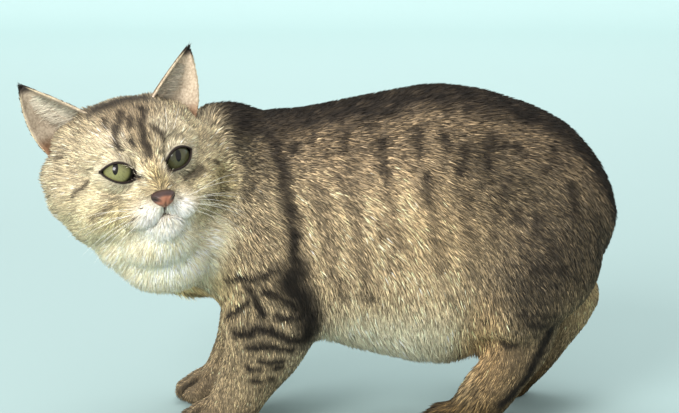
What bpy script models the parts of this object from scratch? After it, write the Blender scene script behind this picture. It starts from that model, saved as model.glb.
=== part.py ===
# A life-size Manx cat, standing in profile with its head turned to its left.
# Metres, +Z up. The cat faces -X, so its left side is on -Y.
import math

import bmesh
import bpy
from mathutils import Matrix, Vector
from mathutils.bvhtree import BVHTree

# Driving dimensions
BODY_LENGTH = 0.296  # breast to rump, over the coat
BACK_HEIGHT = 0.2465  # floor to the top of the coat over the loin
HEAD_WIDTH = 0.127  # across the jowls, over the coat
EYE_RADIUS = 0.0108
EAR_HEIGHT = 0.047
EAR_WALL = 0.0024
PAW_WIDTH = 0.036
PART_GAP = 0.0003  # between neighbouring nodes

# How the head is carried
HEAD_CENTRE = Vector((-0.1378, -0.058, 0.190))
HEAD_TURN = 111.0  # degrees to the cat's left of straight ahead
HEAD_RAISE = 12.0
HEAD_TILT = 10.0

# Face, in the head's frame: the cat's right, forward, up
EYE_CENTRE = (0.0194, 0.0338, 0.0088)
EYE_SPLAY = 15.0  # degrees that each eye's lids face outwards
EYE_SLANT = 22.0  # degrees that the outer corners lie above the inner ones
LID_THICKNESS = 0.0017
NOSE_CENTRE = Vector((0.0, 0.0570, -0.0125))
LIP_LINE = [(0.0, -0.0250), (0.0050, -0.0275), (0.0105, -0.0300), (0.0170, -0.0310), (0.0230, -0.0290)]
GROOVE_HALF = 0.0009
NAPE_NORMAL = (0.30, -0.92, 0.10)

# Meshing
FLESH_VOXEL = 0.0026
FLESH_SMOOTHING = 10
COARSE_KEEP = 0.062  # share of the triangles kept on trunk and legs
PAW_KEEP = 0.085
HEAD_KEEP = 0.125
RING_SIDES = 28

LEFT, RIGHT = -1, 1
SIDES = {"left": LEFT, "right": RIGHT}


def clear_scene():
    for old in list(bpy.data.objects):
        bpy.data.objects.remove(old)


def material(name, colour, roughness):
    made = bpy.data.materials.new(name)
    made.use_nodes = True
    shader = made.node_tree.nodes["Principled BSDF"]
    shader.inputs["Base Color"].default_value = (*colour, 1.0)
    shader.inputs["Roughness"].default_value = roughness
    shader.inputs["Metallic"].default_value = 0.0
    return made


def add_object(name, bm, finish=None):
    mesh = bpy.data.meshes.new(name)
    bm.to_mesh(mesh)
    bm.free()
    made = bpy.data.objects.new(name, mesh)
    bpy.context.scene.collection.objects.link(made)
    if finish:
        mesh.materials.append(finish)
    return made


def apply_modifiers(obj):
    graph = bpy.context.evaluated_depsgraph_get()
    mesh = bpy.data.meshes.new_from_object(obj.evaluated_get(graph))
    old = obj.data
    obj.modifiers.clear()
    obj.data = mesh
    bpy.data.meshes.remove(old)
    return obj


def mesh_of(obj):
    bm = bmesh.new()
    bm.from_mesh(obj.data)
    return bm


def eased(stations, steps=4):
    """The same stations with more between them, on a smooth curve through them all."""
    ends = [stations[0], *stations, stations[-1]]
    made = []
    for before, here, there, after in zip(ends, ends[1:], ends[2:], ends[3:]):
        for i in range(steps):
            t = i / steps
            weights = (
                -0.5 * t + t * t - 0.5 * t**3,
                1 - 2.5 * t * t + 1.5 * t**3,
                0.5 * t + 2 * t * t - 1.5 * t**3,
                -0.5 * t * t + 0.5 * t**3,
            )
            near = zip(before, here, there, after)
            made.append(tuple(sum(w * v for w, v in zip(weights, four)) for four in near))
    return [*made, stations[-1]]


def skin_tube(bm, rings):
    """Closes a row of point rings into one tube with flat ends."""
    loops = [[bm.verts.new(p) for p in ring] for ring in rings]
    for near, far in zip(loops, loops[1:]):
        for i in range(len(near)):
            j = (i + 1) % len(near)
            bm.faces.new((near[i], near[j], far[j], far[i]))
    bm.faces.new(reversed(loops[0]))
    bm.faces.new(loops[-1])


def ellipsoid(bm, centre, semi_axes, frame=None, pitch=0.0, steps=(32, 20)):
    """An ellipsoid given in a local frame, pitched about that frame's X."""
    place = Matrix.Translation(centre) @ Matrix.Rotation(math.radians(pitch), 4, "X")
    place = (frame or Matrix.Identity(4)) @ place @ Matrix.Diagonal((*semi_axes, 1.0))
    bmesh.ops.create_uvsphere(bm, u_segments=steps[0], v_segments=steps[1], radius=1.0, matrix=place)


def trunk(bm):
    """Breast to rump: upright egg-shaped rings. Fractions are of the body's length and back's height."""
    breast = -0.0975
    # along, underside, top, half width
    stations = [
        (0.000, 0.520, 0.730, 0.020),
        (0.030, 0.430, 0.880, 0.042),
        (0.110, 0.370, 0.925, 0.054),
        (0.240, 0.272, 0.938, 0.061),
        (0.390, 0.230, 0.968, 0.067),
        (0.530, 0.195, 0.998, 0.071),
        (0.630, 0.203, 0.993, 0.071),
        (0.720, 0.262, 0.968, 0.068),
        (0.800, 0.352, 0.934, 0.064),
        (0.870, 0.412, 0.888, 0.059),
        (0.930, 0.470, 0.818, 0.051),
        (0.970, 0.520, 0.742, 0.039),
        (0.995, 0.590, 0.655, 0.018),
    ]
    widest = 0.42  # of the way up each ring
    squareness = 2.25
    rings = []
    for along, under, top, half in eased(stations):
        x = breast + along * BODY_LENGTH
        low, high = under * BACK_HEIGHT, top * BACK_HEIGHT
        middle = low + widest * (high - low)
        ring = []
        for i in range(RING_SIDES):
            turn = 2 * math.pi * i / RING_SIDES
            c, s = math.cos(turn), math.sin(turn)
            y = half * math.copysign(abs(c) ** (2 / squareness), c)
            reach = high - middle if s > 0 else middle - low
            z = middle + reach * math.copysign(abs(s) ** (2 / squareness), s)
            ring.append(Vector((x, y, z)))
        rings.append(ring)
    skin_tube(bm, rings)


def limb(bm, stations):
    """A tube through (x, y, z, half depth fore and aft, half width) stations."""
    stations = eased(stations)
    points = [Vector(s[:3]) for s in stations]
    rings = []
    for i, (station, point) in enumerate(zip(stations, points)):
        ahead = points[min(i + 1, len(points) - 1)]
        behind = points[max(i - 1, 0)]
        along = (ahead - behind).normalized()
        fore = Vector((0, 1, 0)).cross(along).normalized()
        wide = along.cross(fore)
        depth, width = station[3:]
        ring = []
        for k in range(RING_SIDES):
            turn = 2 * math.pi * k / RING_SIDES
            ring.append(point + fore * depth * math.cos(turn) + wide * width * math.sin(turn))
        rings.append(ring)
    skin_tube(bm, rings)


def paw(bm, heel, heading, spread=1.0):
    """A foot standing on the floor: a low dome with four toes fanned round its front."""
    frame = Matrix.Translation(heel) @ Matrix.Rotation(math.radians(heading), 4, "Z")
    unit = PAW_WIDTH / 2 * spread
    ellipsoid(bm, (-0.55 * unit, 0, 0.62 * unit), (1.22 * unit, 0.92 * unit, 0.82 * unit), frame)
    for side in (-1, 1):
        inner = Vector((-1.50 * unit, 0.30 * side * unit, 0.46 * unit))
        outer = Vector((-1.12 * unit, 0.78 * side * unit, 0.42 * unit))
        ellipsoid(bm, inner, (0.66 * unit, 0.315 * unit, 0.52 * unit), frame)
        ellipsoid(bm, outer, (0.62 * unit, 0.305 * unit, 0.47 * unit), frame)


def forelegs(bm):
    """Shoulder, upper arm and forearm on each side, with the paw under the wrist."""
    # the left paw stands a little behind the right one
    for side, step in ((LEFT, 0.0), (RIGHT, -0.008)):
        y = side * 0.037
        limb(bm, [
            (-0.045, side * 0.018, 0.205, 0.036, 0.018),
            (-0.050, side * 0.030, 0.175, 0.042, 0.028),
            (-0.052, side * 0.037, 0.135, 0.041, 0.029),
            (-0.048, y, 0.105, 0.037, 0.028),
            (-0.050 + step / 2, y, 0.082, 0.036, 0.026),
            (-0.055 + step, y, 0.062, 0.030, 0.023),
            (-0.065 + step, y, 0.042, 0.0230, 0.0190),
            (-0.073 + step, y, 0.027, 0.0200, 0.0180),
            (-0.078 + step, y, 0.013, 0.0195, 0.0175),
        ])
        paw(bm, (-0.079 + step, y, 0.0), 4.0 * side)


def hindlegs(bm):
    """Thigh, shank and hock on each side. The left foot stands further forward."""
    for side, step in ((LEFT, 0.0), (RIGHT, 0.042)):
        y = side * 0.046
        limb(bm, [
            (0.134 + step / 6, side * 0.020, 0.192, 0.020, 0.014),
            (0.137 + step / 6, side * 0.033, 0.168, 0.046, 0.030),
            (0.130 + step / 5, side * 0.042, 0.130, 0.054, 0.033),
            (0.121 + step / 2, y, 0.100, 0.042, 0.029),
            (0.118 + step / 2, y, 0.078, 0.028, 0.023),
        ])
        limb(bm, [
            (0.112 + step / 2, y, 0.104, 0.026, 0.022),
            (0.134 + step, y, 0.084, 0.0205, 0.0180),
            (0.137 + step, y, 0.074, 0.0175, 0.0160),
        ])
        limb(bm, [
            (0.140 + step, y, 0.090, 0.0130, 0.0130),
            (0.133 + step, y, 0.073, 0.0200, 0.0165),
            (0.118 + step, y, 0.051, 0.0195, 0.0165),
            (0.104 + step, y, 0.030, 0.0180, 0.0165),
            (0.094 + step, y, 0.016, 0.0150, 0.0165),
        ])
        paw(bm, (0.094 + step, y, 0.0), 3.0 * side, 0.98)


def neck(bm):
    """From between the shoulders forward, bending left to the back of the head."""
    limb(bm, [
        (-0.040, 0.000, 0.165, 0.060, 0.050),
        (-0.075, -0.003, 0.162, 0.066, 0.054),
        (-0.103, -0.012, 0.160, 0.068, 0.053),
        (-0.126, -0.026, 0.164, 0.061, 0.050),
        (-0.140, -0.042, 0.172, 0.050, 0.046),
    ])


def head_frame():
    """Columns are the cat's right, forward and up."""
    facing = Matrix.Rotation(math.radians(HEAD_TURN + 90), 4, "Z")
    raised = facing @ Matrix.Rotation(math.radians(HEAD_RAISE), 4, "X")
    tilted = raised @ Matrix.Rotation(math.radians(HEAD_TILT), 4, "Y")
    return Matrix.Translation(HEAD_CENTRE) @ tilted


def head_point(local):
    return head_frame() @ Vector(local)


def skull(bm, frame):
    """Cranium, jowls, nose bridge, whisker pads and jaw, as fused ellipsoids in the head's frame."""
    half = HEAD_WIDTH / 2
    ellipsoid(bm, (0, -0.006, 0.012), (0.050, 0.050, 0.046), frame)
    ellipsoid(bm, (0, 0.018, 0.008), (0.040, 0.032, 0.036), frame)
    ellipsoid(bm, (0, 0.030, 0.000), (0.0150, 0.0290, 0.0180), frame, -22)
    ellipsoid(bm, (0, 0.046, -0.011), (0.0110, 0.0160, 0.0095), frame, -24)
    ellipsoid(bm, (0, 0.014, -0.026), (0.034, 0.036, 0.022), frame, 6)
    ellipsoid(bm, (0, 0.0405, -0.0335), (0.0135, 0.0135, 0.0105), frame)
    ellipsoid(bm, (0, -0.004, -0.040), (0.040, 0.034, 0.026), frame)
    for side in (LEFT, RIGHT):
        ellipsoid(bm, (side * (half - 0.031), -0.006, -0.001), (0.031, 0.036, 0.025), frame)
        ellipsoid(bm, (side * 0.028, 0.014, -0.014), (0.023, 0.025, 0.021), frame)
        ellipsoid(bm, (side * 0.0120, 0.0415, -0.0215), (0.0150, 0.0170, 0.0112), frame, -6)
        ellipsoid(bm, (side * 0.022, 0.024, 0.018), (0.019, 0.017, 0.015), frame)
        ellipsoid(bm, (side * 0.031, -0.008, 0.030), (0.021, 0.024, 0.019), frame)


def largest_piece(bm, near=None):
    """Keeps one connected piece: the largest, or the one with the point nearest to near."""
    left = set(bm.verts)
    pieces = []
    while left:
        stack = [left.pop()]
        piece = set(stack)
        while stack:
            for edge in stack.pop().link_edges:
                for vert in edge.verts:
                    if vert in left:
                        left.discard(vert)
                        piece.add(vert)
                        stack.append(vert)
        pieces.append(piece)
    if near is None:
        keep = max(pieces, key=len)
    else:
        keep = min(pieces, key=lambda p: min((v.co - near).length_squared for v in p))
    bmesh.ops.delete(bm, geom=[v for v in bm.verts if v not in keep], context="VERTS")


def flesh():
    """The whole animal as one smooth closed surface, without ears, eyes and nose."""
    bm = bmesh.new()
    trunk(bm)
    neck(bm)
    forelegs(bm)
    hindlegs(bm)
    skull(bm, head_frame())
    whole = add_object("flesh", bm)
    remesh = whole.modifiers.new("fuse", "REMESH")
    remesh.mode = "VOXEL"
    remesh.voxel_size = FLESH_VOXEL
    smooth = whole.modifiers.new("blend", "SMOOTH")
    smooth.factor = 0.5
    smooth.iterations = FLESH_SMOOTHING
    apply_modifiers(whole)
    bm = mesh_of(whole)
    largest_piece(bm)
    bm.to_mesh(whole.data)
    bm.free()
    return whole


def thinned(source, keep, name):
    """A copy of a surface with a share of its triangles."""
    copy = bpy.data.objects.new(name, source.data.copy())
    bpy.context.scene.collection.objects.link(copy)
    fewer = copy.modifiers.new("fewer", "DECIMATE")
    fewer.ratio = keep
    fewer.use_collapse_triangulate = True
    return apply_modifiers(copy)


def cut(bm, point, normal):
    """Cuts away what lies past the plane, on the side its normal points to, and closes the hole."""
    geometry = bm.verts[:] + bm.edges[:] + bm.faces[:]
    bmesh.ops.bisect_plane(
        bm, geom=geometry, dist=1e-6, plane_co=point, plane_no=normal, clear_outer=True
    )
    rim = [e for e in bm.edges if e.is_boundary]
    if rim:
        bmesh.ops.holes_fill(bm, edges=rim, sides=0)


class Plane:
    """A parting plane. The two nodes that meet there keep PART_GAP between them."""

    def __init__(self, point, normal):
        self.point = Vector(point)
        self.normal = Vector(normal).normalized()

    def behind(self):
        return self.point - self.normal * PART_GAP / 2, self.normal

    def ahead(self):
        return self.point + self.normal * PART_GAP / 2, -self.normal


def carve(name, source, half_spaces, near, finish):
    """One node: the piece of a surface inside all the half spaces that lies nearest a point."""
    bm = mesh_of(source)
    for point, normal in half_spaces:
        cut(bm, point, normal)
    largest_piece(bm, Vector(near))
    bmesh.ops.triangulate(bm, faces=bm.faces[:])
    return add_object(name, bm, finish)


def hide(obj):
    obj.hide_render = True
    obj.display_type = "WIRE"
    return obj


def helper(name, bm):
    """A closed cutter or filler whose faces point out."""
    bmesh.ops.recalc_face_normals(bm, faces=bm.faces[:])
    return hide(add_object(name, bm))


def combine(obj, other, operation):
    join = obj.modifiers.new(operation.lower(), "BOOLEAN")
    join.object = other
    join.operation = operation
    join.solver = "EXACT"
    apply_modifiers(obj)
    bpy.data.objects.remove(other)


def swollen(obj, by):
    """A hidden copy of a solid, grown along its normals."""
    copy = bpy.data.objects.new(obj.name + "_swollen", obj.data.copy())
    bpy.context.scene.collection.objects.link(copy)
    grow = copy.modifiers.new("grow", "DISPLACE")
    grow.strength = by
    grow.mid_level = 0.0
    return hide(apply_modifiers(copy))


def eye_frame(head, side):
    """At the eyeball's centre: Y looks out of the lids, X runs to the cat's right along their slant."""
    turn = Matrix.Rotation(math.radians(-side * EYE_SPLAY), 4, "Z")
    slant = Matrix.Rotation(math.radians(-side * EYE_SLANT), 4, "Y")
    centre = Vector((side * EYE_CENTRE[0], *EYE_CENTRE[1:]))
    return head @ Matrix.Translation(centre) @ turn @ slant


def ball(bm, frame, radius):
    bmesh.ops.create_uvsphere(
        bm, u_segments=20, v_segments=12, radius=radius, matrix=frame @ Matrix.Rotation(math.pi / 2, 4, "X")
    )


def eyeball(name, head, side, finish):
    bm = bmesh.new()
    ball(bm, eye_frame(head, side), EYE_RADIUS)
    bmesh.ops.triangulate(bm, faces=bm.faces[:])
    made = add_object(name, bm, finish)
    made.data.shade_smooth()
    return made


def lid_opening(head, side):
    """A flaring prism whose outline is the almond between the lids."""
    half_width, above, below = 0.0122, 0.0070, 0.0059
    steps = 9
    frame = eye_frame(head, side)
    outline = []
    for i in range(steps):
        t = i / steps
        outline.append((half_width * (2 * t - 1), below * -math.sin(math.pi * t) ** 0.85))
    for i in range(steps):
        t = i / steps
        outline.append((half_width * (1 - 2 * t), above * math.sin(math.pi * t) ** 0.85))
    bm = bmesh.new()
    rings = []
    for depth, flare in ((0.35 * EYE_RADIUS, 0.95), (2.2 * EYE_RADIUS, 1.15)):
        rings.append([frame @ Vector((x * flare, depth, z * flare)) for x, z in outline])
    skin_tube(bm, rings)
    return helper("lid_opening", bm)


def ear(name, head, side, finish):
    """A thin cup between its inner and outer edges, sunk into the head at the base."""
    inner = Vector((side * 0.026, 0.006, 0.049))
    outer = Vector((side * 0.0555, -0.010, 0.025))
    tip = Vector((side * 0.060, -0.009, 0.032 + EAR_HEIGHT))
    across = (outer - inner).normalized()
    upward = (tip - (inner + outer) / 2).normalized()
    opening = side * upward.cross(across).normalized()
    rows, columns = 9, 8
    sunk, tip_half, cup, bow = 0.30, 0.0020, 0.017, 0.0050
    grid = []
    for r in range(rows + 1):
        v = -sunk + (1 + sunk) * r / rows
        swell = bow * math.sin(math.pi * max(v, 0.0)) ** 0.8
        first = inner.lerp(tip - across * tip_half, v) - across * swell * 0.15
        last = outer.lerp(tip + across * tip_half, v) + across * swell
        depth = cup * (1 - max(v, 0.0)) ** 0.75
        row = []
        for c in range(columns + 1):
            u = 2 * c / columns - 1
            row.append(first.lerp(last, c / columns) - opening * depth * (1 - u * u) ** 0.7)
        grid.append(row)
    bm = bmesh.new()
    verts = [[bm.verts.new(head @ p) for p in row] for row in grid]
    for low, high in zip(verts, verts[1:]):
        for c in range(columns):
            bm.faces.new((low[c], low[c + 1], high[c + 1], high[c]))
    made = add_object(name, bm, finish)
    wall = made.modifiers.new("wall", "SOLIDIFY")
    wall.thickness = EAR_WALL
    wall.offset = 0.0
    apply_modifiers(made)
    return made


def nose_pad(bm, head, grow=0.0):
    """The bare leather: broad at the top, narrowing down to the lip."""
    half = Vector((0.0114, 0.0066, 0.0075)) + Vector((grow, grow, grow))
    place = head @ Matrix.Translation(NOSE_CENTRE) @ Matrix.Rotation(math.radians(-16), 4, "X")
    made = bmesh.ops.create_uvsphere(bm, u_segments=16, v_segments=10, radius=1.0)
    for vert in made["verts"]:
        x, y, z = vert.co
        narrow = 0.42 + 0.58 * ((z + 1) / 2) ** 0.7
        vert.co = place @ Vector((x * half.x * narrow, y * half.y, z * half.z))


def nose(head, finish):
    bm = bmesh.new()
    nose_pad(bm, head)
    made = add_object("nose", bm, finish)
    bm = bmesh.new()
    for side in SIDES.values():
        centre = NOSE_CENTRE + Vector((side * 0.0050, 0.0050, -0.0004))
        ellipsoid(bm, centre, (0.0022, 0.0034, 0.0014), head, 8, (12, 8))
    combine(made, helper("nostrils", bm), "DIFFERENCE")
    made.data.shade_smooth()
    return made


def groove(points, forward):
    """A thin closed tube half sunk in the surface the points lie on."""
    rings = []
    for i, point in enumerate(points):
        along = (points[min(i + 1, len(points) - 1)] - points[max(i - 1, 0)]).normalized()
        across = along.cross(forward).normalized()
        depth = across.cross(along)
        thin = GROOVE_HALF * (0.7 if i in (0, len(points) - 1) else 1.0)
        ring = []
        for k in range(6):
            turn = math.pi * k / 3
            ring.append(point + across * thin * math.cos(turn) + depth * 1.5 * thin * math.sin(turn))
        rings.append(ring)
    bm = bmesh.new()
    skin_tube(bm, rings)
    return helper("groove", bm)


def cut_mouth(made, head):
    """The line under the nose, then the lips to each side."""
    touch = BVHTree.FromObject(made, bpy.context.evaluated_depsgraph_get())
    forward = (head.to_3x3() @ Vector((0, 1, 0))).normalized()
    lines = [[(0.0, -0.0165), (0.0, -0.0205), (0.0, -0.0250)]]
    for side in SIDES.values():
        lines.append([(x * side, z) for x, z in LIP_LINE])
    for line in lines:
        points = [touch.ray_cast(head @ Vector((x, 0.12, z)), -forward)[0] for x, z in line]
        combine(made, groove(points, forward), "DIFFERENCE")


def head_and_face(source, head, half_spaces, coat, leather, glass):
    """The head node with its lids, mouth and sockets, then the pieces that sit on it."""
    made = carve("head", source, half_spaces, HEAD_CENTRE, coat)
    for side_name, side in SIDES.items():
        shell = ear("ear_" + side_name, head, side, coat)
        for root in (made, bpy.data.objects["neck"]):
            combine(shell, swollen(root, PART_GAP), "DIFFERENCE")
        bm = mesh_of(shell)
        largest_piece(bm, head @ Vector((side * 0.060, -0.009, 0.032 + EAR_HEIGHT)))
        bm.to_mesh(shell.data)
        bm.free()
    for side in SIDES.values():
        bm = bmesh.new()
        ball(bm, eye_frame(head, side), EYE_RADIUS + LID_THICKNESS)
        combine(made, helper("lids", bm), "UNION")
    cut_mouth(made, head)
    for side in SIDES.values():
        bm = bmesh.new()
        ball(bm, eye_frame(head, side), EYE_RADIUS + PART_GAP)
        combine(made, helper("socket", bm), "DIFFERENCE")
        combine(made, lid_opening(head, side), "DIFFERENCE")
    bm = bmesh.new()
    nose_pad(bm, head, PART_GAP)
    combine(made, helper("nose_seat", bm), "DIFFERENCE")
    nose(head, leather)
    for side_name, side in SIDES.items():
        eyeball("eye_" + side_name, head, side, glass)


def settle():
    """Moves everything together until the bottom centre of the whole is the origin."""
    made = [obj for obj in bpy.data.objects if obj.type == "MESH"]
    points = [vert.co for obj in made for vert in obj.data.vertices]
    lows = [min(p[i] for p in points) for i in range(3)]
    highs = [max(p[i] for p in points) for i in range(3)]
    shift = Vector((-(lows[0] + highs[0]) / 2, -(lows[1] + highs[1]) / 2, -lows[2]))
    for obj in made:
        obj.data.transform(Matrix.Translation(shift))
        obj.data.update()


def main():
    clear_scene()
    coat = material("coat", (0.42, 0.34, 0.24), 0.9)
    leather = material("nose_leather", (0.42, 0.16, 0.12), 0.5)
    glass = material("eye_gloss", (0.35, 0.40, 0.20), 0.05)
    whole = flesh()
    fine_head = thinned(whole, HEAD_KEEP, "fine_head")
    fine_paws = thinned(whole, PAW_KEEP, "fine_paws")
    coarse = thinned(whole, COARSE_KEEP, "coarse")
    bpy.data.objects.remove(whole)

    floor = Plane((0, 0, 0), (0, 0, 1))
    elbows = Plane((0, 0, 0.088), (0, 0, 1))
    behind_elbows = Plane((-0.012, 0, 0), (1, 0, 0))
    crotch = Plane((0.060, 0, 0.034), (-0.058, 0, 0.077))
    loin = Plane((0.095, 0, 0), (1, 0, 0))
    thigh_top = Plane((0, 0, 0.165), (0, 0, 1))
    midline = Plane((0, 0, 0), (0, 1, 0))
    neck_base = Plane((-0.080, 0, 0.158), (-0.96, -0.05, 0.27))
    nape = Plane(head_point((0, -0.035, 0)), NAPE_NORMAL)
    wrists = Plane((-0.070, 0, 0.034), (0.25, 0, 1))
    hocks = Plane((0.100, 0, 0.036), (0.10, 0, 1))
    above_floor = (floor.point, -floor.normal)
    head = head_frame()

    carve("abdomen", coarse, [crotch.ahead(), behind_elbows.ahead(), loin.behind()], (0.04, 0, 0.15), coat)
    shoulder_sides = [behind_elbows.behind(), elbows.ahead(), neck_base.behind()]
    carve("chest", coarse, shoulder_sides, (-0.04, 0, 0.15), coat)
    carve("neck", coarse, [neck_base.ahead(), elbows.ahead(), nape.behind()], (-0.11, 0, 0.16), coat)
    carve("croup", coarse, [loin.ahead(), thigh_top.ahead()], (0.15, 0, 0.2), coat)
    for side_name, side in SIDES.items():
        inside = midline.behind() if side < 0 else midline.ahead()
        thigh_sides = [loin.ahead(), thigh_top.behind(), crotch.ahead(), inside]
        carve("thigh_" + side_name, coarse, thigh_sides, (0.15, side * 0.05, 0.13), coat)
        hind = (0.14, side * 0.046, 0.07)
        carve("hindleg_" + side_name, coarse, [crotch.behind(), hocks.ahead(), inside], hind, coat)
        foot = (0.11, side * 0.046, 0.01)
        below_hock = [crotch.behind(), hocks.behind(), above_floor, inside]
        carve("hindpaw_" + side_name, fine_paws, below_hock, foot, coat)
        arm = (-0.055, side * 0.037, 0.06)
        below_elbow = [behind_elbows.behind(), elbows.behind(), wrists.ahead(), inside]
        carve("foreleg_" + side_name, coarse, below_elbow, arm, coat)
        foot = (-0.09, side * 0.037, 0.01)
        below_wrist = [behind_elbows.behind(), wrists.behind(), above_floor, inside]
        carve("forepaw_" + side_name, fine_paws, below_wrist, foot, coat)
    head_and_face(fine_head, head, [nape.ahead(), neck_base.ahead()], coat, leather, glass)
    for source in (coarse, fine_head, fine_paws):
        bpy.data.objects.remove(source)
    settle()


main()
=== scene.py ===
import itertools
import math

import bmesh
import bpy
import numpy as np
from mathutils import Matrix, Vector
from mathutils.bvhtree import BVHTree
from mathutils.kdtree import KDTree


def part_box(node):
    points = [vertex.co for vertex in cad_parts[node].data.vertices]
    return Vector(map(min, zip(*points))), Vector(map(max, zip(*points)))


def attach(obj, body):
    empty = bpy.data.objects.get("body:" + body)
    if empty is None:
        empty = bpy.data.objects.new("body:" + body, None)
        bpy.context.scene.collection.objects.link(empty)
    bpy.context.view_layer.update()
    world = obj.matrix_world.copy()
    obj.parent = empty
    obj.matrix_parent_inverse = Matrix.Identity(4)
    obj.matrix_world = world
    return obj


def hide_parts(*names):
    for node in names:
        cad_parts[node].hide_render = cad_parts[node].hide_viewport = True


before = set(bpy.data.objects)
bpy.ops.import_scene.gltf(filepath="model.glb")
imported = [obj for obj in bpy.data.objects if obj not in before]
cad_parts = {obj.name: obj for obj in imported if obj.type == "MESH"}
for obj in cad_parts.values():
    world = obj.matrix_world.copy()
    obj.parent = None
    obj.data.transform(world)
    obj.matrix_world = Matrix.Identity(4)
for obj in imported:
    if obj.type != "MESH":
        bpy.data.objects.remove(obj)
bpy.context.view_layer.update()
rng = np.random.default_rng(20)
mm = 0.001

# the head's own axes: the cat's right, forward, up
headPose = {
    "turn": 111,  # degrees to the cat's left of straight ahead
    "raise": 12,
    "tilt": 10,
    "eyes": (19.4 * mm, 33.8 * mm, 8.8 * mm),  # each eyeball's centre, mirrored for the left one
    "standsAt": (-137.8 * mm, -58 * mm, 190 * mm),  # the head's centre where the markings were measured
}


def turned(degrees, axis):
    return Matrix.Rotation(math.radians(degrees), 4, axis)


def middleOf(node):
    low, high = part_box(node)
    return (low + high) / 2


headAxes = turned(headPose["turn"] + 90, "Z") @ turned(headPose["raise"], "X") @ turned(headPose["tilt"], "Y")
betweenEyes = (middleOf("eye_left") + middleOf("eye_right")) / 2
headCentre = betweenEyes - headAxes.to_3x3() @ Vector((0, *headPose["eyes"][1:]))
headMatrix = Matrix.Translation(headCentre) @ headAxes
headTurn = np.array(headMatrix.to_3x3())
headAt = np.array(headCentre)
home = headAt - np.array(headPose["standsAt"])  # from the places of the markings to the frame's


def measured(points):
    # places in mm as the cat was measured
    return (points - home) / mm


def inHead(points):
    # places in mm in the head's own axes
    return (points - headAt) @ headTurn / mm


def fromHead(places):
    return np.asarray(places, float) * mm @ headTurn.T + headAt


def smoothStep(low, high, value):
    t = np.clip((value - low) / (high - low), 0, 1)
    return t * t * (3 - 2 * t)


def bell(away, wide):
    return np.exp(-((away / wide) ** 2))


def unit(vectors):
    return vectors / np.maximum(np.linalg.norm(vectors, axis=-1, keepdims=True), 1e-9)


noiseTable = rng.random(4096)


def noise(points, size, shift=0):
    # smooth lumps from 0 to 1, about size across
    scaled = points / size + shift * 17.31
    cell = np.floor(scaled).astype(np.int64)
    t = scaled - cell
    t = t * t * (3 - 2 * t)
    total = np.zeros(len(points))
    for corner in itertools.product((0, 1), repeat=3):
        key = (cell + corner) * (73856093, 19349663, 83492791)
        weight = np.prod(np.where(corner, t, 1 - t), axis=1)
        total += noiseTable[(key[:, 0] ^ key[:, 1] ^ key[:, 2]) & 4095] * weight
    return total


def linear(colours):
    # 8-bit display colours to the shader's values
    values = np.asarray(colours, float) / 255
    return np.where(values <= 0.04045, values / 12.92, ((values + 0.055) / 1.055) ** 2.4)


def paint(*colour):
    return (*linear(colour), 1)


def goTowards(values, share, goal):
    # each point's colour or place goes its own share of the way
    values += share[:, None] * (np.asarray(goal) - values)


def linked(name, data):
    made = bpy.data.objects.new(name, data)
    bpy.context.scene.collection.objects.link(made)
    return made


# camera, backdrop and light
view = {
    "target": (0, 0, 158 * mm),
    "elevation": 12.5,
    "distance": 1.2,
    "pixel": 0.72 * mm,  # of the photograph, at the target
    "pixelsAcross": 679,
    "sensor": 36,
}
slope = math.radians(view["elevation"])
towardsCamera = Vector((0, -math.cos(slope), math.sin(slope)))
camera = linked("camera", bpy.data.cameras.new("camera"))
camera.data.sensor_width = view["sensor"]
camera.data.lens = view["sensor"] * view["distance"] / (view["pixelsAcross"] * view["pixel"])
camera.location = Vector(home) + Vector(view["target"]) + towardsCamera * view["distance"]
camera.rotation_euler = (-towardsCamera).to_track_quat("-Z", "Y").to_euler()
bpy.context.scene.camera = camera
bpy.context.scene.view_settings.view_transform = "Standard"

studio = {
    # place, aims at, width, watts, colour
    "key": ((-0.9, -1.7, 1.35), (0, 0, 0.12), 0.7, 45, (1.0, 0.975, 0.94)),
    "fill": ((-1.0, -1.9, 0.2), (0, 0, 0.1), 1.5, 44, (1.0, 0.985, 0.965)),
    "top": ((0.1, 0.5, 1.8), (0, 0.1, 0.1), 1.4, 22, (1.0, 1.0, 1.0)),
    "sky": (1.0, 0.985, 0.96),
    "skyStrength": 1.25,
    "backdrop": (140, 160, 160),
    "backdropFar": (192, 219, 219),
    "fade": (0.1, 3.0),  # how far behind the cat the one turns into the other
    "unevenness": 0.06,
    "paper": (-2.6, 7.2),  # where the paper starts, and how long it is
    "bend": 2.6,  # where the floor turns up into the wall
    "radius": 0.6,
    "wide": 7.0,
}
for lampName in ("key", "fill", "top"):
    place, aim, width, watts, colour = studio[lampName]
    lamp = linked(lampName, bpy.data.lights.new(lampName, "AREA"))
    lamp.data.size = width
    lamp.data.energy = watts
    lamp.data.color = colour
    lamp.visible_glossy = lampName == "key"  # one highlight in each eye
    lamp.location = place
    lamp.rotation_euler = (Vector(aim) - Vector(place)).to_track_quat("-Z", "Y").to_euler()
world = bpy.data.worlds.new("studioAir")
bpy.context.scene.world = world
world.use_nodes = True
world.node_tree.nodes["Background"].inputs["Color"].default_value = (*studio["sky"], 1)
world.node_tree.nodes["Background"].inputs["Strength"].default_value = studio["skyStrength"]


class Wire:
    # a shader socket that takes part in sums
    def __init__(self, finish, socket):
        self.finish = finish
        self.socket = socket

    def sum(self, operation, first, second):
        return self.finish.add("ShaderNodeMath", {"operation": operation}, {0: first, 1: second})

    def __add__(self, other):
        return self.sum("ADD", self, other)

    def __radd__(self, other):
        return self.sum("ADD", other, self)

    def __mul__(self, other):
        return self.sum("MULTIPLY", self, other)

    def __rmul__(self, other):
        return self.sum("MULTIPLY", other, self)

    def __truediv__(self, other):
        return self.sum("DIVIDE", self, other)

    def __pow__(self, other):
        return self.sum("POWER", self, other)


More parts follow.
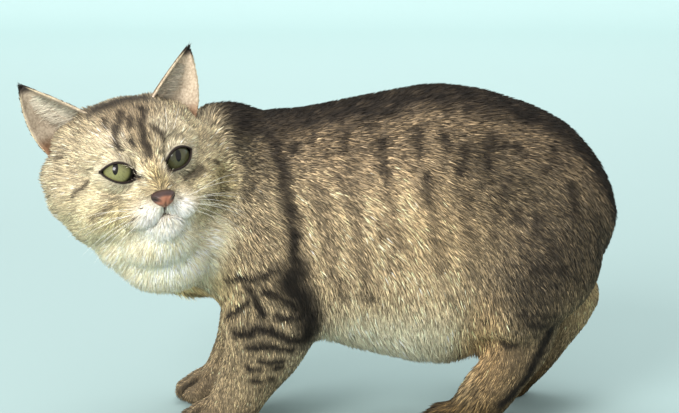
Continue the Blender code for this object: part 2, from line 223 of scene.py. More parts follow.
class Finish:
    # a material and the few things that write its nodes
    def __init__(self, name, constants):
        self.material = bpy.data.materials.new(name)
        self.material.use_nodes = True
        self.tree = self.material.node_tree
        self.shader = self.tree.nodes["Principled BSDF"]
        for socket, value in constants.items():
            self.shader.inputs[socket].default_value = value

    def add(self, kind, settings, inputs, output=0):
        node = self.tree.nodes.new(kind)
        for name, value in settings.items():
            setattr(node, name, value)
        for name, value in inputs.items():
            self.feed(node.inputs[name], value)
        return Wire(self, node.outputs[output])

    def feed(self, socket, value):
        if isinstance(value, Wire):
            self.tree.links.new(value.socket, socket)
        else:
            socket.default_value = value

    def into(self, name, value):
        self.feed(self.shader.inputs[name], value)

    def mixed(self, factor, first, second):
        return self.add("ShaderNodeMix", {"data_type": "RGBA"}, {0: factor, 6: first, 7: second}, 2)

    def tint(self):
        # the colour that was painted on the points
        return self.add("ShaderNodeAttribute", {"attribute_name": "tint"}, {}, "Color")

    def deepened(self, colour, share):
        settings = {"data_type": "RGBA", "blend_type": "MULTIPLY"}
        return self.add("ShaderNodeMix", settings, {0: 1.0, 6: colour, 7: (*share, 1)}, 2)

    def stepped(self, value, low, high):
        # 0 at low to 1 at high, eased
        settings = {"interpolation_type": "SMOOTHSTEP"}
        return self.add("ShaderNodeMapRange", settings, {"Value": value, "From Min": low, "From Max": high})

    def place(self):
        return self.add("ShaderNodeTexCoord", {}, {}, "Object")

    def lumps(self, vector, scale, detail=2.0, roughness=0.5):
        inputs = {"Vector": vector, "Scale": scale, "Detail": detail, "Roughness": roughness}
        return self.add("ShaderNodeTexNoise", {}, inputs, "Fac")

    def raised(self, height, strength, distance):
        inputs = {"Height": height, "Strength": strength, "Distance": distance}
        self.into("Normal", self.add("ShaderNodeBump", {}, inputs))


def bmeshOf(mesh):
    bm = bmesh.new()
    bm.from_mesh(mesh)
    return bm


def putInto(mesh, bm):
    bm.to_mesh(mesh)
    bm.free()


def newObject(name, bm, *finishes):
    mesh = bpy.data.meshes.new(name)
    putInto(mesh, bm)
    made = linked(name, mesh)
    for finish in finishes:
        mesh.materials.append(finish.material)
    return made


def applied(made):
    # its modifiers, or its curve's thickness, made plain mesh
    graph = bpy.context.evaluated_depsgraph_get()
    mesh = bpy.data.meshes.new_from_object(made.evaluated_get(graph))
    if made.type == "MESH":
        made.modifiers.clear()
        made.data = mesh
        return made
    plain = linked(made.name + "Mesh", mesh)
    name = made.name
    bpy.data.objects.remove(made)
    plain.name = name
    return plain


def fused(made, voxel, rounds):
    remesh = made.modifiers.new("fuse", "REMESH")
    remesh.mode = "VOXEL"
    remesh.voxel_size = voxel
    blend = made.modifiers.new("blend", "SMOOTH")
    blend.factor = 0.5
    blend.iterations = rounds
    return applied(made)


def rows(items, key, width, kind=float):
    # one value of all items as an array
    flat = np.empty(len(items) * width, kind)
    items.foreach_get(key, flat)
    return flat.reshape(-1, width)


def pointsOf(mesh):
    return rows(mesh.vertices, "co", 3)


def normalsOf(mesh):
    return rows(mesh.vertices, "normal", 3)


def movePoints(mesh, points):
    mesh.vertices.foreach_set("co", points.ravel())
    mesh.update()


def kept(mesh, name):
    # a value that was stored at each point
    return rows(mesh.attributes[name].data, "value", 1)[:, 0]


def softened(values, edges, rounds):
    # each value goes halfway to the mean of its neighbours, again and again
    ends = np.concatenate((edges[:, 0], edges[:, 1]))
    others = np.concatenate((edges[:, 1], edges[:, 0]))
    count = np.maximum(np.bincount(ends, minlength=len(values)), 1)
    for _ in range(rounds):
        mean = np.bincount(ends, weights=values[others], minlength=len(values)) / count
        values = (values + mean) / 2
    return values


def colourPoints(mesh, colours):
    layer = mesh.attributes.new("tint", "FLOAT_COLOR", "POINT")
    full = np.ones((len(mesh.vertices), 4), np.float32)
    full[:, :3] = colours
    layer.data.foreach_set("color", full.ravel())


def tube(name, splines, finish, closed=False):
    # round threads through lists of (point, radius)
    curve = bpy.data.curves.new(name, "CURVE")
    curve.dimensions = "3D"
    curve.bevel_depth = 1.0
    curve.bevel_resolution = 1
    curve.use_fill_caps = True
    for stations in splines:
        spline = curve.splines.new("POLY")
        spline.points.add(len(stations) - 1)
        spline.use_cyclic_u = closed
        for point, (place, radius) in zip(spline.points, stations):
            point.co = (*place, 1)
            point.radius = radius
    made = applied(linked(name, curve))
    made.data.materials.clear()
    made.data.materials.append(finish.material)
    made.data.shade_smooth()
    return made


# the paper that the cat stands on, painted darker near the cat and paler far behind it: painted light that evens out
# the lamps' fall-off
backdropFinish = Finish("backdropPaper", {"Roughness": 0.9, "Specular IOR Level": 0.1})
place = backdropFinish.place()
away = backdropFinish.add("ShaderNodeSeparateXYZ", {}, {"Vector": place}, "Y")
cloudy = studio["unevenness"] * backdropFinish.lumps(place, 1.3, 1.0)
# painted light: the paper grows paler with distance behind the cat, where less lamp light reaches
shade = backdropFinish.stepped(away, *studio["fade"]) + cloudy
near, far = paint(*studio["backdrop"]), paint(*studio["backdropFar"])
backdropFinish.into("Base Color", backdropFinish.mixed(shade, near, far))
paperStart, paperLength = studio["paper"]
bend, radius = studio["bend"], studio["radius"]
bm = bmesh.new()
bmesh.ops.create_grid(bm, x_segments=1, y_segments=48, size=0.5)
for vert in bm.verts:
    along = (vert.co.y + 0.5) * paperLength + paperStart  # from in front of the cat to up the wall
    arc = min(max((along - bend) / radius, 0), math.pi / 2)
    beyond = max(along - bend - radius * math.pi / 2, 0)
    depth = min(along, bend) + radius * math.sin(arc)
    vert.co = (vert.co.x * 2 * studio["wide"], depth, radius * (1 - math.cos(arc)) + beyond)
backdrop = newObject("backdrop", bm, backdropFinish)
backdrop.data.shade_smooth()
print("stage, camera and lights are set")

# the skin
skinShape = {
    "coarseVoxel": 3.0 * mm,
    "coarseRounds": 12,
    "fineVoxel": 2.5 * mm,
    "fineRounds": 10,
    # how far the skin lies inside the coat's tips, by the part it belongs to
    "depths": {
        "neck": 4.6 * mm,
        "chest": 4.2 * mm,
        "abdomen": 4.6 * mm,
        "croup": 4.2 * mm,
        "thigh": 3.2 * mm,
        "foreleg": 1.5 * mm,
        "forepaw": 1.0 * mm,
        "hindleg": 1.5 * mm,
        "hindpaw": 1.0 * mm,
    },
    "depthRounds": 40,  # how much one depth blends into the next
    "flatUnder": 1.0 * mm,  # what is lower than this lies on the floor
    "pawUnit": 18 * mm,
    "clefts": (-0.54, 0, 0.54),  # between the toes, in paw units
    "cleftDepth": 2.2 * mm,
    # heels, as measured, with the way each paw points and its size
    "paws": [
        ((-79 * mm, -37 * mm, 0), -4, 1.0),
        ((-87 * mm, 37 * mm, 0), 4, 1.0),
        ((94 * mm, -46 * mm, 0), -3, 0.98),
        ((136 * mm, 46 * mm, 0), 3, 0.98),
    ],
}
# centre, half size and pitch, in the head's own axes, mm and degrees: cranium, face, bridge, muzzle, jaw, chin,
# throat, under the chin, then mirrored: jowls, cheeks, whisker pads, brows, outer and inner ear roots, temples and
# sides of the jaw
headMounds = [
    ((0, -6, 12), (50, 50, 46), 0),
    ((0, 18, 8), (40, 32, 36), 0),
    ((0, 30, 0), (15, 29, 18), -22),
    ((0, 46, -11), (11, 16, 9.5), -24),
    ((0, 14, -26), (34, 36, 22), 6),
    ((0, 39.5, -32.5), (13, 13.5, 10), 0),
    ((0, -4, -40), (40, 34, 26), 0),
    ((0, 20, -43), (27, 25, 18), 0),
    ((32.5, -6, -1), (31, 36, 25), 0),
    ((28, 14, -14), (23, 25, 21), 0),
    ((13, 40.5, -20.5), (14.5, 16.4, 10.4), -6),
    ((22, 24, 18), (19, 17, 15), 0),
    ((31, -8, 30), (21, 24, 19), 0),
    ((19, -3, 46), (13, 14, 10), 0),
    ((40, -8, 14), (24, 26, 18), 0),
    ((30, -2, -20), (24, 30, 20), 0),
]
# nape and throat, in the measured places, mm
neckMounds = [
    ((-80, 0, 206), (38, 36, 28)),
    ((-121, -58, 138), (35, 37, 28)),
    ((-93, -34, 137), (30, 33, 31)),
    ((-74, -22, 172), (25, 29, 36)),
]
# toes and ball of a paw, in paw units
pawMounds = [
    ((-0.55, 0, 0.62), (1.22, 0.92, 0.82)),
    ((-1.50, 0.30, 0.46), (0.66, 0.315, 0.52)),
    ((-1.12, 0.78, 0.42), (0.62, 0.305, 0.47)),
]


def joinTo(bm, other):
    mesh = bpy.data.meshes.new("other")
    putInto(mesh, other)
    bm.from_mesh(mesh)
    bpy.data.meshes.remove(mesh)


def addMounds(bm, axes, size, mounds, mirror=None):
    # each mound, and its twin across the mirror axis where it lies off the middle
    for centre, half, *pitch in mounds:
        for side in (1, -1) if mirror is not None and centre[mirror] else (1,):
            place = np.array(centre, float) * size
            if mirror is not None:
                place[mirror] *= side
            stretch = Matrix.Diagonal((*(np.array(half) * size), 1))
            matrix = axes @ Matrix.Translation(place) @ turned(sum(pitch), "X") @ stretch
            alone = bmesh.new()
            bmesh.ops.create_uvsphere(alone, u_segments=40, v_segments=24, radius=1, matrix=matrix)
            joinTo(bm, alone)


def largestShell(made):
    bm = bmeshOf(made.data)
    left = set(bm.verts)
    shells = []
    while left:
        stack = [left.pop()]
        shell = set(stack)
        while stack:
            for edge in stack.pop().link_edges:
                for vert in edge.verts:
                    if vert in left:
                        left.discard(vert)
                        shell.add(vert)
                        stack.append(vert)
        shells.append(shell)
    keep = max(shells, key=len)
    bmesh.ops.delete(bm, geom=[vert for vert in bm.verts if vert not in keep], context="VERTS")
    putInto(made.data, bm)


fleshNodes = [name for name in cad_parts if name.split("_")[0] not in ("head", "ear", "eye", "nose")]
bm = bmesh.new()
for name in fleshNodes:
    bm.from_mesh(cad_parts[name].data)
bmesh.ops.remove_doubles(bm, verts=bm.verts[:], dist=0.01 * mm)
trunk = fused(newObject("trunk", bm), skinShape["coarseVoxel"], skinShape["coarseRounds"])
largestShell(trunk)
bm = bmeshOf(trunk.data)
bpy.data.objects.remove(trunk)
addMounds(bm, headMatrix, mm, headMounds, 0)
addMounds(bm, Matrix.Translation(home), mm, neckMounds)
paws = [
    (Matrix.Translation(Vector(heel) + Vector(home)) @ turned(heading, "Z"), skinShape["pawUnit"] * size)
    for heel, heading, size in skinShape["paws"]
]
for axes, step in paws:
    addMounds(bm, axes, step, pawMounds, 1)
skin = fused(newObject("skin", bm), skinShape["fineVoxel"], skinShape["fineRounds"])
largestShell(skin)

# sink it under the coat
labels = []
nearby = KDTree(sum(len(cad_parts[name].data.vertices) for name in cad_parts))
for name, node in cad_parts.items():
    for vert in node.data.vertices:
        nearby.insert(vert.co, len(labels))
        labels.append(name.split("_")[0])
nearby.balance()


def partsOf(points):
    return np.array([labels[nearby.find(point)[1]] for point in points])


headDepths = {"face": 1.2, "back": 1.8, "beside": 1.3, "crown": 0.5, "underJaw": 2.4, "most": 4.6}  # mm


def headDepth(points):
    # thin on the face, deeper over crown and cheeks, as deep as the neck's under the jaw
    x, y, z = inHead(points).T
    back = smoothStep(34, -6, y)
    beside = smoothStep(30, 50, np.abs(x))
    deep = headDepths["face"] + headDepths["back"] * back + headDepths["beside"] * beside * back
    deep = deep + headDepths["crown"] * smoothStep(30, 46, z) + headDepths["underJaw"] * smoothStep(-34, -50, z)
    return np.minimum(deep, headDepths["most"]) * mm


points = pointsOf(skin.data)
parts = partsOf(points)
ownDepth = headDepth(points)
depth = np.array([skinShape["depths"].get(part, own) for part, own in zip(parts, ownDepth)])
edges = rows(skin.data.edges, "vertices", 2, np.int64)
depth = softened(depth, edges, skinShape["depthRounds"])
head = inHead(points)
onHead = softened(np.isin(parts, ("head", "eye", "nose", "ear")).astype(float), edges, 12)
# the throat runs into the breast without a crease
border = softened(onHead, edges, 50)
throat = smoothStep(0.01, 0.10, border * (1 - border)) * smoothStep(-20, -44, head[:, 2])
jowls = 0.8 * onHead * smoothStep(16, 4, head[:, 1]) * smoothStep(44, 34, head[:, 2])
for rounds, share in ((25, jowls), (100, throat)):
    relaxed = np.stack([softened(line, edges, rounds) for line in points.T], axis=1)
    goTowards(points, share, relaxed)
# the nape takes the body's colours
onHead *= smoothStep(-44, -26, head[:, 1]) * smoothStep(-72, -61, head[:, 0])
movePoints(skin.data, points)
points -= normalsOf(skin.data) * depth[:, None]
points[:, 2] = np.where(points[:, 2] < skinShape["flatUnder"], 0, points[:, 2])
movePoints(skin.data, points)
for name, values in (("depth", depth), ("onHead", onHead)):
    skin.data.attributes.new(name, "FLOAT", "POINT").data.foreach_set("value", values)
print("skin fused and sunk:", len(points), "points")

# the face
eyeShape = {
    "radius": 10.8 * mm,
    "splay": 15,  # degrees that the lids face outwards
    "slant": 15,  # degrees that the outer corners lie above the inner ones
    "outer": 11.6 * mm,  # corners of the opening, from the eye's middle
    "inner": 13.4 * mm,
    "above": 6.7 * mm,
    "below": 5.9 * mm,
    "dip": 2.2 * mm,  # how far the inner corner hangs
    "lid": 0.9 * mm,
    "full": 11.5 * mm,  # up to here from the eye's middle the shape is all lid
    "reach": 17 * mm,  # and from here all face
    "cone": (8.0 * mm, 9 * mm, 0.78),  # the lids' slope beside the ball: height, where, how steep
    # how high, how far outside the opening, how wide
    "fold": (0.55 * mm, 3.4 * mm, 0.8 * mm),
    "roll": (0.35 * mm, 1.0 * mm, 0.9 * mm),
    "hollow": 2.5 * mm,  # how far the skin stays behind the ball's front
}
# how high, how far beside the mouth's lines and how wide the pads stand, how deep the lines are, and the most, mm
mouthShape = {"rise": 0.5, "beside": 4.2, "wide": 2.2, "groove": 1.5, "most": 1.7}
mouthLines = [
    # half width, and the line across and up, in the head's own axes, mm
    (0.9, [(0, -17.0), (0, -20.0), (0, -23.5)]),
    (0.9, [(0, -23.5), (4.0, -26.0), (8.0, -28.4), (12.0, -30.0)]),
    (0.9, [(0, -23.5), (-4.0, -25.6), (-8.0, -27.2), (-10.5, -29.6)]),
]


def eyeMatrix(side):
    # Y looks out between the lids, X runs to the cat's right along their slant
    across, ahead, up = headPose["eyes"]
    facing = turned(-side * eyeShape["splay"], "Z") @ turned(-side * eyeShape["slant"], "Y")
    return headMatrix @ Matrix.Translation((side * across, ahead, up)) @ facing


def inEye(points, side):
    # outwards, forward and up, as the lids lie
    matrix = np.array(eyeMatrix(side))
    local = (points - matrix[:3, 3]) @ matrix[:3, :3]
    local[:, 0] *= side
    return local


def lidEdge(outwards):
    # upper and lower edge of the opening at a distance outwards from the eye's middle
    t = np.clip((outwards + eyeShape["inner"]) / (eyeShape["inner"] + eyeShape["outer"]), 0, 1)
    dip = -eyeShape["dip"] * (1 - t) ** 3
    upper = dip + eyeShape["above"] * np.sin(math.pi * t**0.96) ** 0.82
    lower = dip - eyeShape["below"] * np.sin(math.pi * t**0.90) ** 0.82
    return upper, lower


def lidShell(local):
    # how far forward the lids stand over the eyeball
    r = np.hypot(local[:, 0], local[:, 2])
    ball = np.sqrt(np.maximum((eyeShape["radius"] + eyeShape["lid"]) ** 2 - r**2, 0))
    height, start, steep = eyeShape["cone"]
    cone = height - steep * (r - start)
    return np.logaddexp(ball / mm * 2, cone / mm * 2) / 2 * mm


def intoOpening(local):
    # how far a point lies inside the opening, in metres, negative outside it
    upper, lower = lidEdge(local[:, 0])
    ends = np.minimum(local[:, 0] + eyeShape["inner"], eyeShape["outer"] - local[:, 0])
    return np.minimum(np.minimum(upper - local[:, 2], local[:, 2] - lower), ends)


def awayFrom(points, line):
    # distance from points to a run of straight pieces
    nearest = np.full(len(points), 1e9)
    for start, end in zip(line, line[1:]):
        start = np.asarray(start, float)
        run = np.asarray(end, float) - start
        t = np.clip((points - start) @ run / max(run @ run, 1e-12), 0, 1)
        nearest = np.minimum(nearest, np.linalg.norm(points - start - t[:, None] * run, axis=1))
    return nearest


def refine(made, chosen):
    # halve the edges whose two ends are chosen
    bm = bmeshOf(made.data)
    bm.verts.ensure_lookup_table()
    picked = [edge for edge in bm.edges if chosen[edge.verts[0].index] and chosen[edge.verts[1].index]]
    bmesh.ops.subdivide_edges(bm, edges=picked, cuts=1, use_grid_fill=True)
    bmesh.ops.triangulate(bm, faces=[face for face in bm.faces if len(face.verts) > 4])
    putInto(made.data, bm)


def toeGroove(points, half):
    # 1 in the clefts between the toes, down to 0 beside them; half is in paw units
    cleft = np.zeros(len(points))
    for axes, step in paws:
        place = np.array(axes)
        x, y, z = ((points - place[:3, 3]) @ place[:3, :3] / step).T
        along = smoothStep(-0.95, -1.35, x) * smoothStep(-2.8, -2.5, x) * smoothStep(1.4, 1.1, z)
        for middle in skinShape["clefts"]:
            cleft = np.maximum(cleft, along * bell(y - middle, half))
    return cleft


for half in (0.22, 0.13):
    refine(skin, toeGroove(pointsOf(skin.data), half) > 0.2)
points = pointsOf(skin.data)
points -= normalsOf(skin.data) * (toeGroove(points, 0.10) * skinShape["cleftDepth"])[:, None]
points[:, 2] = np.maximum(points[:, 2], 0)
movePoints(skin.data, points)

local = inHead(pointsOf(skin.data))
refine(skin, (local[:, 1] > 14) & (np.abs(local[:, 0]) < 44) & (local[:, 2] > -44) & (local[:, 2] < 40))
points = pointsOf(skin.data)
local = inHead(points)
close = (local[:, 1] > 30) & (local[:, 2] > -37) & (local[:, 2] < -6) & (np.abs(local[:, 0]) < 26)
for side in (1, -1):
    eye = inEye(points, side)
    close |= (np.hypot(eye[:, 0], eye[:, 2]) < 15.5 * mm) & (eye[:, 1] > -2 * mm)
refine(skin, close)

points = pointsOf(skin.data)
local = inHead(points)
# the pads stand up to each side of the lines of the mouth
front = smoothStep(34, 42, local[:, 1])
lift = np.zeros(len(points))
for half, line in mouthLines:
    away = awayFrom(local[:, [0, 2]], line)
    fading = smoothStep(14, 8, np.abs(local[:, 0]))
    pads = mouthShape["rise"] * bell(away - mouthShape["beside"], mouthShape["wide"])
    lift += pads * smoothStep(-36, -24, local[:, 2]) * fading
    lift -= mouthShape["groove"] * bell(away, half) * fading
lift *= front
points += headTurn[:, 1] * np.maximum(lift, -mouthShape["most"])[:, None] * mm
# lids over each eyeball, open between their edges
for side in (1, -1):
    matrix = np.array(eyeMatrix(side))
    eye = inEye(points, side)
    r = np.hypot(eye[:, 0], eye[:, 2])
    near = (r < eyeShape["reach"]) & (eye[:, 1] > -3 * mm)
    inside = intoOpening(eye)
    blend = smoothStep(eyeShape["reach"], eyeShape["full"], r)
    fold, roll = (
        height * bell(inside + outside, wide)
        for height, outside, wide in (eyeShape["fold"], eyeShape["roll"])
    )
    shaped = lidShell(eye) + roll - fold * (eye[:, 2] > 0)
    ball = np.sqrt(np.maximum(eyeShape["radius"] ** 2 - r**2, 0))
    hollow = np.maximum(ball - eyeShape["hollow"], 1.0 * mm)
    shaped = np.where(inside > 0, hollow, shaped)
    blend = np.where(inside > 0, 1, blend)
    forward = np.where(near, blend * (shaped - eye[:, 1]), 0)
    points += matrix[:3, 1] * forward[:, None]
movePoints(skin.data, points)
print("face shaped:", len(points), "points")

# the ears, thin cups rooted in the head
earShape = {
    # the base's two corners and the tip, in the head's own axes, mm
    "inner": (22, 4, 50),
    "outer": (53, -10, 31),
    "tip": (59.5, -9, 78),
    "wall": 1.5 * mm,
    "cup": 17,  # how deep the cup is at the base, mm
    "bow": 5,  # how far the outer edge swells
    "tipHalf": 1.6,
    "ridge": 1.3,
    "pocket": 2.0,
    "sunk": 0.22,  # the share of its height that runs on into the head
    "rows": 40,
    "columns": 28,
}


def earFrame(side):
    # base corners, tip, the way across and the way that the cup faces, in the head's own axes
    inner, outer, tip = (np.array(earShape[key]) * (side, 1, 1) for key in ("inner", "outer", "tip"))
    sideways = unit(outer - inner)
    return inner, outer, tip, sideways, side * unit(np.cross(tip - (inner + outer) / 2, sideways))


def earSheet(side, across, upwards):
    # across from -1 at the inner edge to 1 at the outer one, upwards 0 at the base to 1 at the tip
    inner, outer, tip, sideways, opening = earFrame(side)
    across, upwards = np.asarray(across, float)[:, None], np.asarray(upwards, float)[:, None]
    up = np.clip(upwards, 0, 1)
    swell = earShape["bow"] * np.sin(math.pi * up) ** 0.8
    first = inner + (tip - sideways * earShape["tipHalf"] - inner) * upwards - sideways * swell * 0.15
    last = outer + (tip + sideways * earShape["tipHalf"] - outer) * upwards + sideways * swell
    hollow = earShape["cup"] * (1 - up) ** 0.75 * np.maximum(1 - across**2, 0) ** 0.7
    # a low ridge climbs the inside of the cup, and the outer edge doubles near its base
    ridge, pocket = (
        earShape[name] * bell(across - middle, wide) * bell(upwards - level, high)
        for name, middle, wide, level, high in (("ridge", -0.25, 0.12, 0.25, 0.3), ("pocket", 0.8, 0.13, 0.22, 0.1))
    )
    return fromHead(first + (last - first) * (across + 1) / 2 - opening * (hollow - ridge - pocket))


def earOpening(side):
    # the way the cup faces
    return headTurn @ earFrame(side)[-1]


def ear(side):
    bm = bmesh.new()
    bmesh.ops.create_grid(bm, x_segments=earShape["columns"], y_segments=earShape["rows"], size=1)
    across = [vert.co.x for vert in bm.verts]
    upwards = [-earShape["sunk"] + (1 + earShape["sunk"]) * (vert.co.y + 1) / 2 for vert in bm.verts]
    for vert, place in zip(bm.verts, earSheet(side, across, upwards)):
        vert.co = place
    made = newObject("ear", bm)
    wall = made.modifiers.new("wall", "SOLIDIFY")
    wall.thickness = earShape["wall"]
    wall.offset = 0
    applied(made)
    bm = bmeshOf(made.data)
    bmesh.ops.recalc_face_normals(bm, faces=bm.faces[:])
    bpy.data.objects.remove(made)
    return bm


bareCount = len(skin.data.vertices)
bm = bmeshOf(skin.data)
for side in (1, -1):
    joinTo(bm, ear(side))
putInto(skin.data, bm)
skin.data.shade_smooth()
print("ears joined:", len(skin.data.vertices), "points")

# markings, painted alike on skin and coat; places in mm where the cat was measured, left side
tints = {
    "dark": (34, 30, 26),
    "body": (172.0, 153.0, 122.0),
    "back": (98, 86, 70),
    "face": (182.0, 169.0, 140.0),
    "roundEyes": (216, 206, 180),
    "tearLine": (120, 98, 70),
    "lips": (84, 56, 52),
    "rims": (26, 22, 20),
    "insideEar": (170, 156, 136),
    "earRoot": (-36, -54, -58),  # added to the one before
    "outsideEar": (138.0, 122.0, 98.0),
    "earTip": (46, 40, 36),
}
# how high the back runs along the body
backLine = [
    (-98, 180), (-65, 228), (-26, 232), (18, 239), (60, 246), (89, 245),
    (116, 239), (139, 230), (160, 219), (178, 202), (190, 183), (198, 160),
]
bodyPatches = [
    # centre, reach along each axis, colour, strength
    ((40, -70, 150), (75, 70, 42), (168, 149, 119), 0.85),
    ((-5, -62, 135), (22, 50, 55), (172, 153, 122), 0.8),
    ((85, -72, 160), (45, 60, 40), (166, 145, 112), 0.75),
    ((90, -72, 112), (40, 60, 22), (182, 163, 131), 0.6),
    ((15, -60, 212), (90, 60, 24), (120, 105, 85), 0.75),
    ((112, -60, 200), (40, 70, 36), (76, 68, 56), 0.9),
    # this patch and the next: the pale belly and its fringe, painted paler than they are, partly their own cream and
    # partly painted light against the shade under the body
    ((45, -40, 62), (75, 70, 30), (214, 205, 176), 0.95),
    ((60, -40, 44), (62, 70, 16), (250, 242, 208), 0.9),
    ((-60, -45, 178), (34, 60, 42), (130, 118, 96), 0.9),
    ((-80, -30, 212), (40, 60, 34), (60, 56, 46), 0.95),
    ((-60, -60, 130), (30, 40, 26), (122, 109, 88), 0.75),
    # this patch and the next: the cream breast, painted paler than it is, partly its own colour and partly painted
    # light against the shade under the head
    ((-118, -45, 112), (38, 70, 32), (250, 226, 174), 0.98),
    ((-98, -40, 100), (30, 50, 20), (226, 196, 140), 0.8),
    ((-55, -50, 85), (34, 50, 30), (134, 121, 98), 0.85),
    ((-65, -40, 45), (34, 50, 28), (138, 124, 98), 0.9),
    ((170, -20, 165), (50, 90, 66), (70, 63, 52), 0.95),
    ((146, -60, 116), (46, 50, 44), (58, 52, 44), 0.95),
    ((114, -45, 50), (34, 60, 34), (104, 89, 67), 0.95),
    ((166, -30, 74), (22, 60, 40), (128, 113, 86), 0.9),
    ((100, -50, 70), (14, 60, 34), (176, 146, 104), 0.6),
    ((-95, -37, 8), (40, 40, 20), (112, 99, 78), 0.95),
    ((84, -46, 8), (46, 40, 26), (58, 46, 27), 0.98),
]
farPatches = [((186, 50, 86), (22, 40, 44), (170, 149, 112), 0.95)]  # on the far side alone
bodyBars = [
    # half width in mm, strength, the line
    (4.6, 0.7, [
        (-59, -21, 224), (-50, -31, 219), (-42, -42, 208), (-38, -52, 191), (-36, -56, 181), (-34, -59, 166),
    ]),
    (6.0, 0.72, [(-34, -59, 168), (-30, -60, 151), (-31, -62, 138), (-28, -63, 124)]),
    (6.0, 0.26, [(-14, -58, 192), (-10, -62, 160), (-6, -63, 130), (2, -63, 108)]),
    (6.0, 0.3, [(7, -58, 196), (12, -63, 160), (16, -64, 128), (22, -62, 106)]),
    (5.0, 0.24, [(33, -60, 190), (36, -66, 160), (38, -67, 130)]),
    (6.0, 0.26, [(60, -62, 190), (66, -68, 160), (70, -70, 128)]),
    (6.0, 0.24, [(84, -62, 180), (88, -70, 150), (94, -72, 120)]),
    (3.0, 0.6, [(-31, -40, 213), (-31, -48, 202)]),
    (7.0, 0.8, [(-87, -22, 225), (-80, -38, 213), (-75, -49, 198), (-72, -55, 182)]),
    (3.2, 0.6, [(-14, -11, 232), (-15, -26, 227)]),
    (3.2, 0.55, [(-18, -32, 222), (-19, -42, 213)]),
    (3.2, 0.55, [(4, -36, 224), (3, -43, 216), (2, -48, 208)]),
    (3.6, 0.6, [(21, -30, 231), (22, -40, 223)]),
    (3.6, 0.6, [(28, -48, 215), (28, -56, 202), (32, -61, 189)]),
    (3.2, 0.32, [(28, -67, 162), (28, -68, 150)]),
    (3.2, 0.35, [(0, -57, 192), (6, -63, 171), (11, -65, 159)]),
    (3.6, 0.6, [(46, -21, 240), (47, -36, 233)]),
    (3.8, 0.6, [(54, -46, 224), (54, -51, 216), (54, -57, 207)]),
    (3.4, 0.55, [(60, -62, 196), (59, -65, 185), (59, -67, 176)]),
    (3.6, 0.6, [(72, -49, 221), (73, -55, 212)]),
    (3.6, 0.6, [(85, -54, 213), (84, -58, 205), (83, -61, 197)]),
    (3.8, 0.65, [(106, -46, 220), (103, -54, 210), (102, -60, 198)]),
    (3.8, 0.65, [(113, -50, 213), (120, -49, 213), (127, -52, 206)]),
    (3.6, 0.6, [(149, -44, 208), (147, -50, 202), (140, -55, 196)]),
    (3.4, 0.45, [(117, -60, 193), (112, -64, 180), (108, -68, 166)]),
    (3.2, 0.4, [(106, -68, 157), (105, -69, 147)]),
    (3.4, 0.5, [(122, -65, 171), (121, -67, 162)]),
    (4.0, 0.5, [(161, -53, 185), (161, -61, 166)]),
    (3.6, 0.5, [(136, -67, 165), (133, -70, 154)]),
    (3.2, 0.5, [(146, -71, 146), (147, -72, 139)]),
    (3.6, 0.55, [(135, -75, 130), (145, -73, 129), (154, -71, 127)]),
    (3.0, 0.35, [(89, -69, 163), (90, -70, 153)]),
    (3.0, 0.3, [(-15, -52, 199), (-14, -58, 182), (-14, -61, 169)]),
    (5.0, 0.9, [(8, -10, 236), (15, -4, 237), (22, -6, 238)]),
]
legBars = [
    (2.4, 0.95, [(-79, -51, 90), (-68, -60, 99), (-64, -62, 104)]),
    (3.2, 1.0, [(-64, -64, 113), (-60, -64, 107), (-54, -64, 95)]),
    (3.4, 1.0, [(-52, -65, 112), (-42, -65, 108), (-31, -61, 99)]),
    (2.7, 0.95, [(-76, -59, 118), (-67, -63, 120), (-60, -65, 120), (-50, -66, 123), (-42, -65, 127)]),
    (11.0, 1.0, [(-30, -63, 124), (-34, -63, 117), (-25, -59, 105), (-21, -54, 89), (-21, -52, 77)]),
    (3.6, 1.0, [(-44, -64, 93), (-36, -62, 91), (-27, -58, 92)]),
    (4.0, 1.0, [
        (-74, -55, 79), (-61, -61, 80), (-58, -62, 85), (-48, -63, 83), (-39, -61, 78), (-30, -57, 74), (-23, -52, 73),
    ]),
    (2.9, 0.97, [(-64, -59, 70), (-53, -61, 71), (-46, -61, 69), (-32, -56, 67)]),
    (2.6, 0.92, [(-55, -59, 59), (-48, -58, 58), (-39, -56, 58)]),
    (2.5, 0.92, [(-65, -57, 55), (-61, -58, 53), (-56, -58, 52)]),
    (2.5, 0.9, [(-46, -57, 53), (-40, -55, 54)]),
    (2.4, 0.85, [(-61, -56, 45), (-53, -56, 44), (-46, -54, 45)]),
    (3.0, 0.85, [(114, -57, 71), (122, -61, 72)]),
    (2.0, 0.8, [(123, -74, 97), (137, -72, 97), (149, -67, 95)]),
    (4.0, 0.8, [(131, -72, 90), (142, -67, 87)]),
    (4.4, 1.0, [(147, -61, 83), (144, -60, 73), (138, -60, 61), (133, -58, 49), (122, -58, 35), (115, -59, 28)]),
]
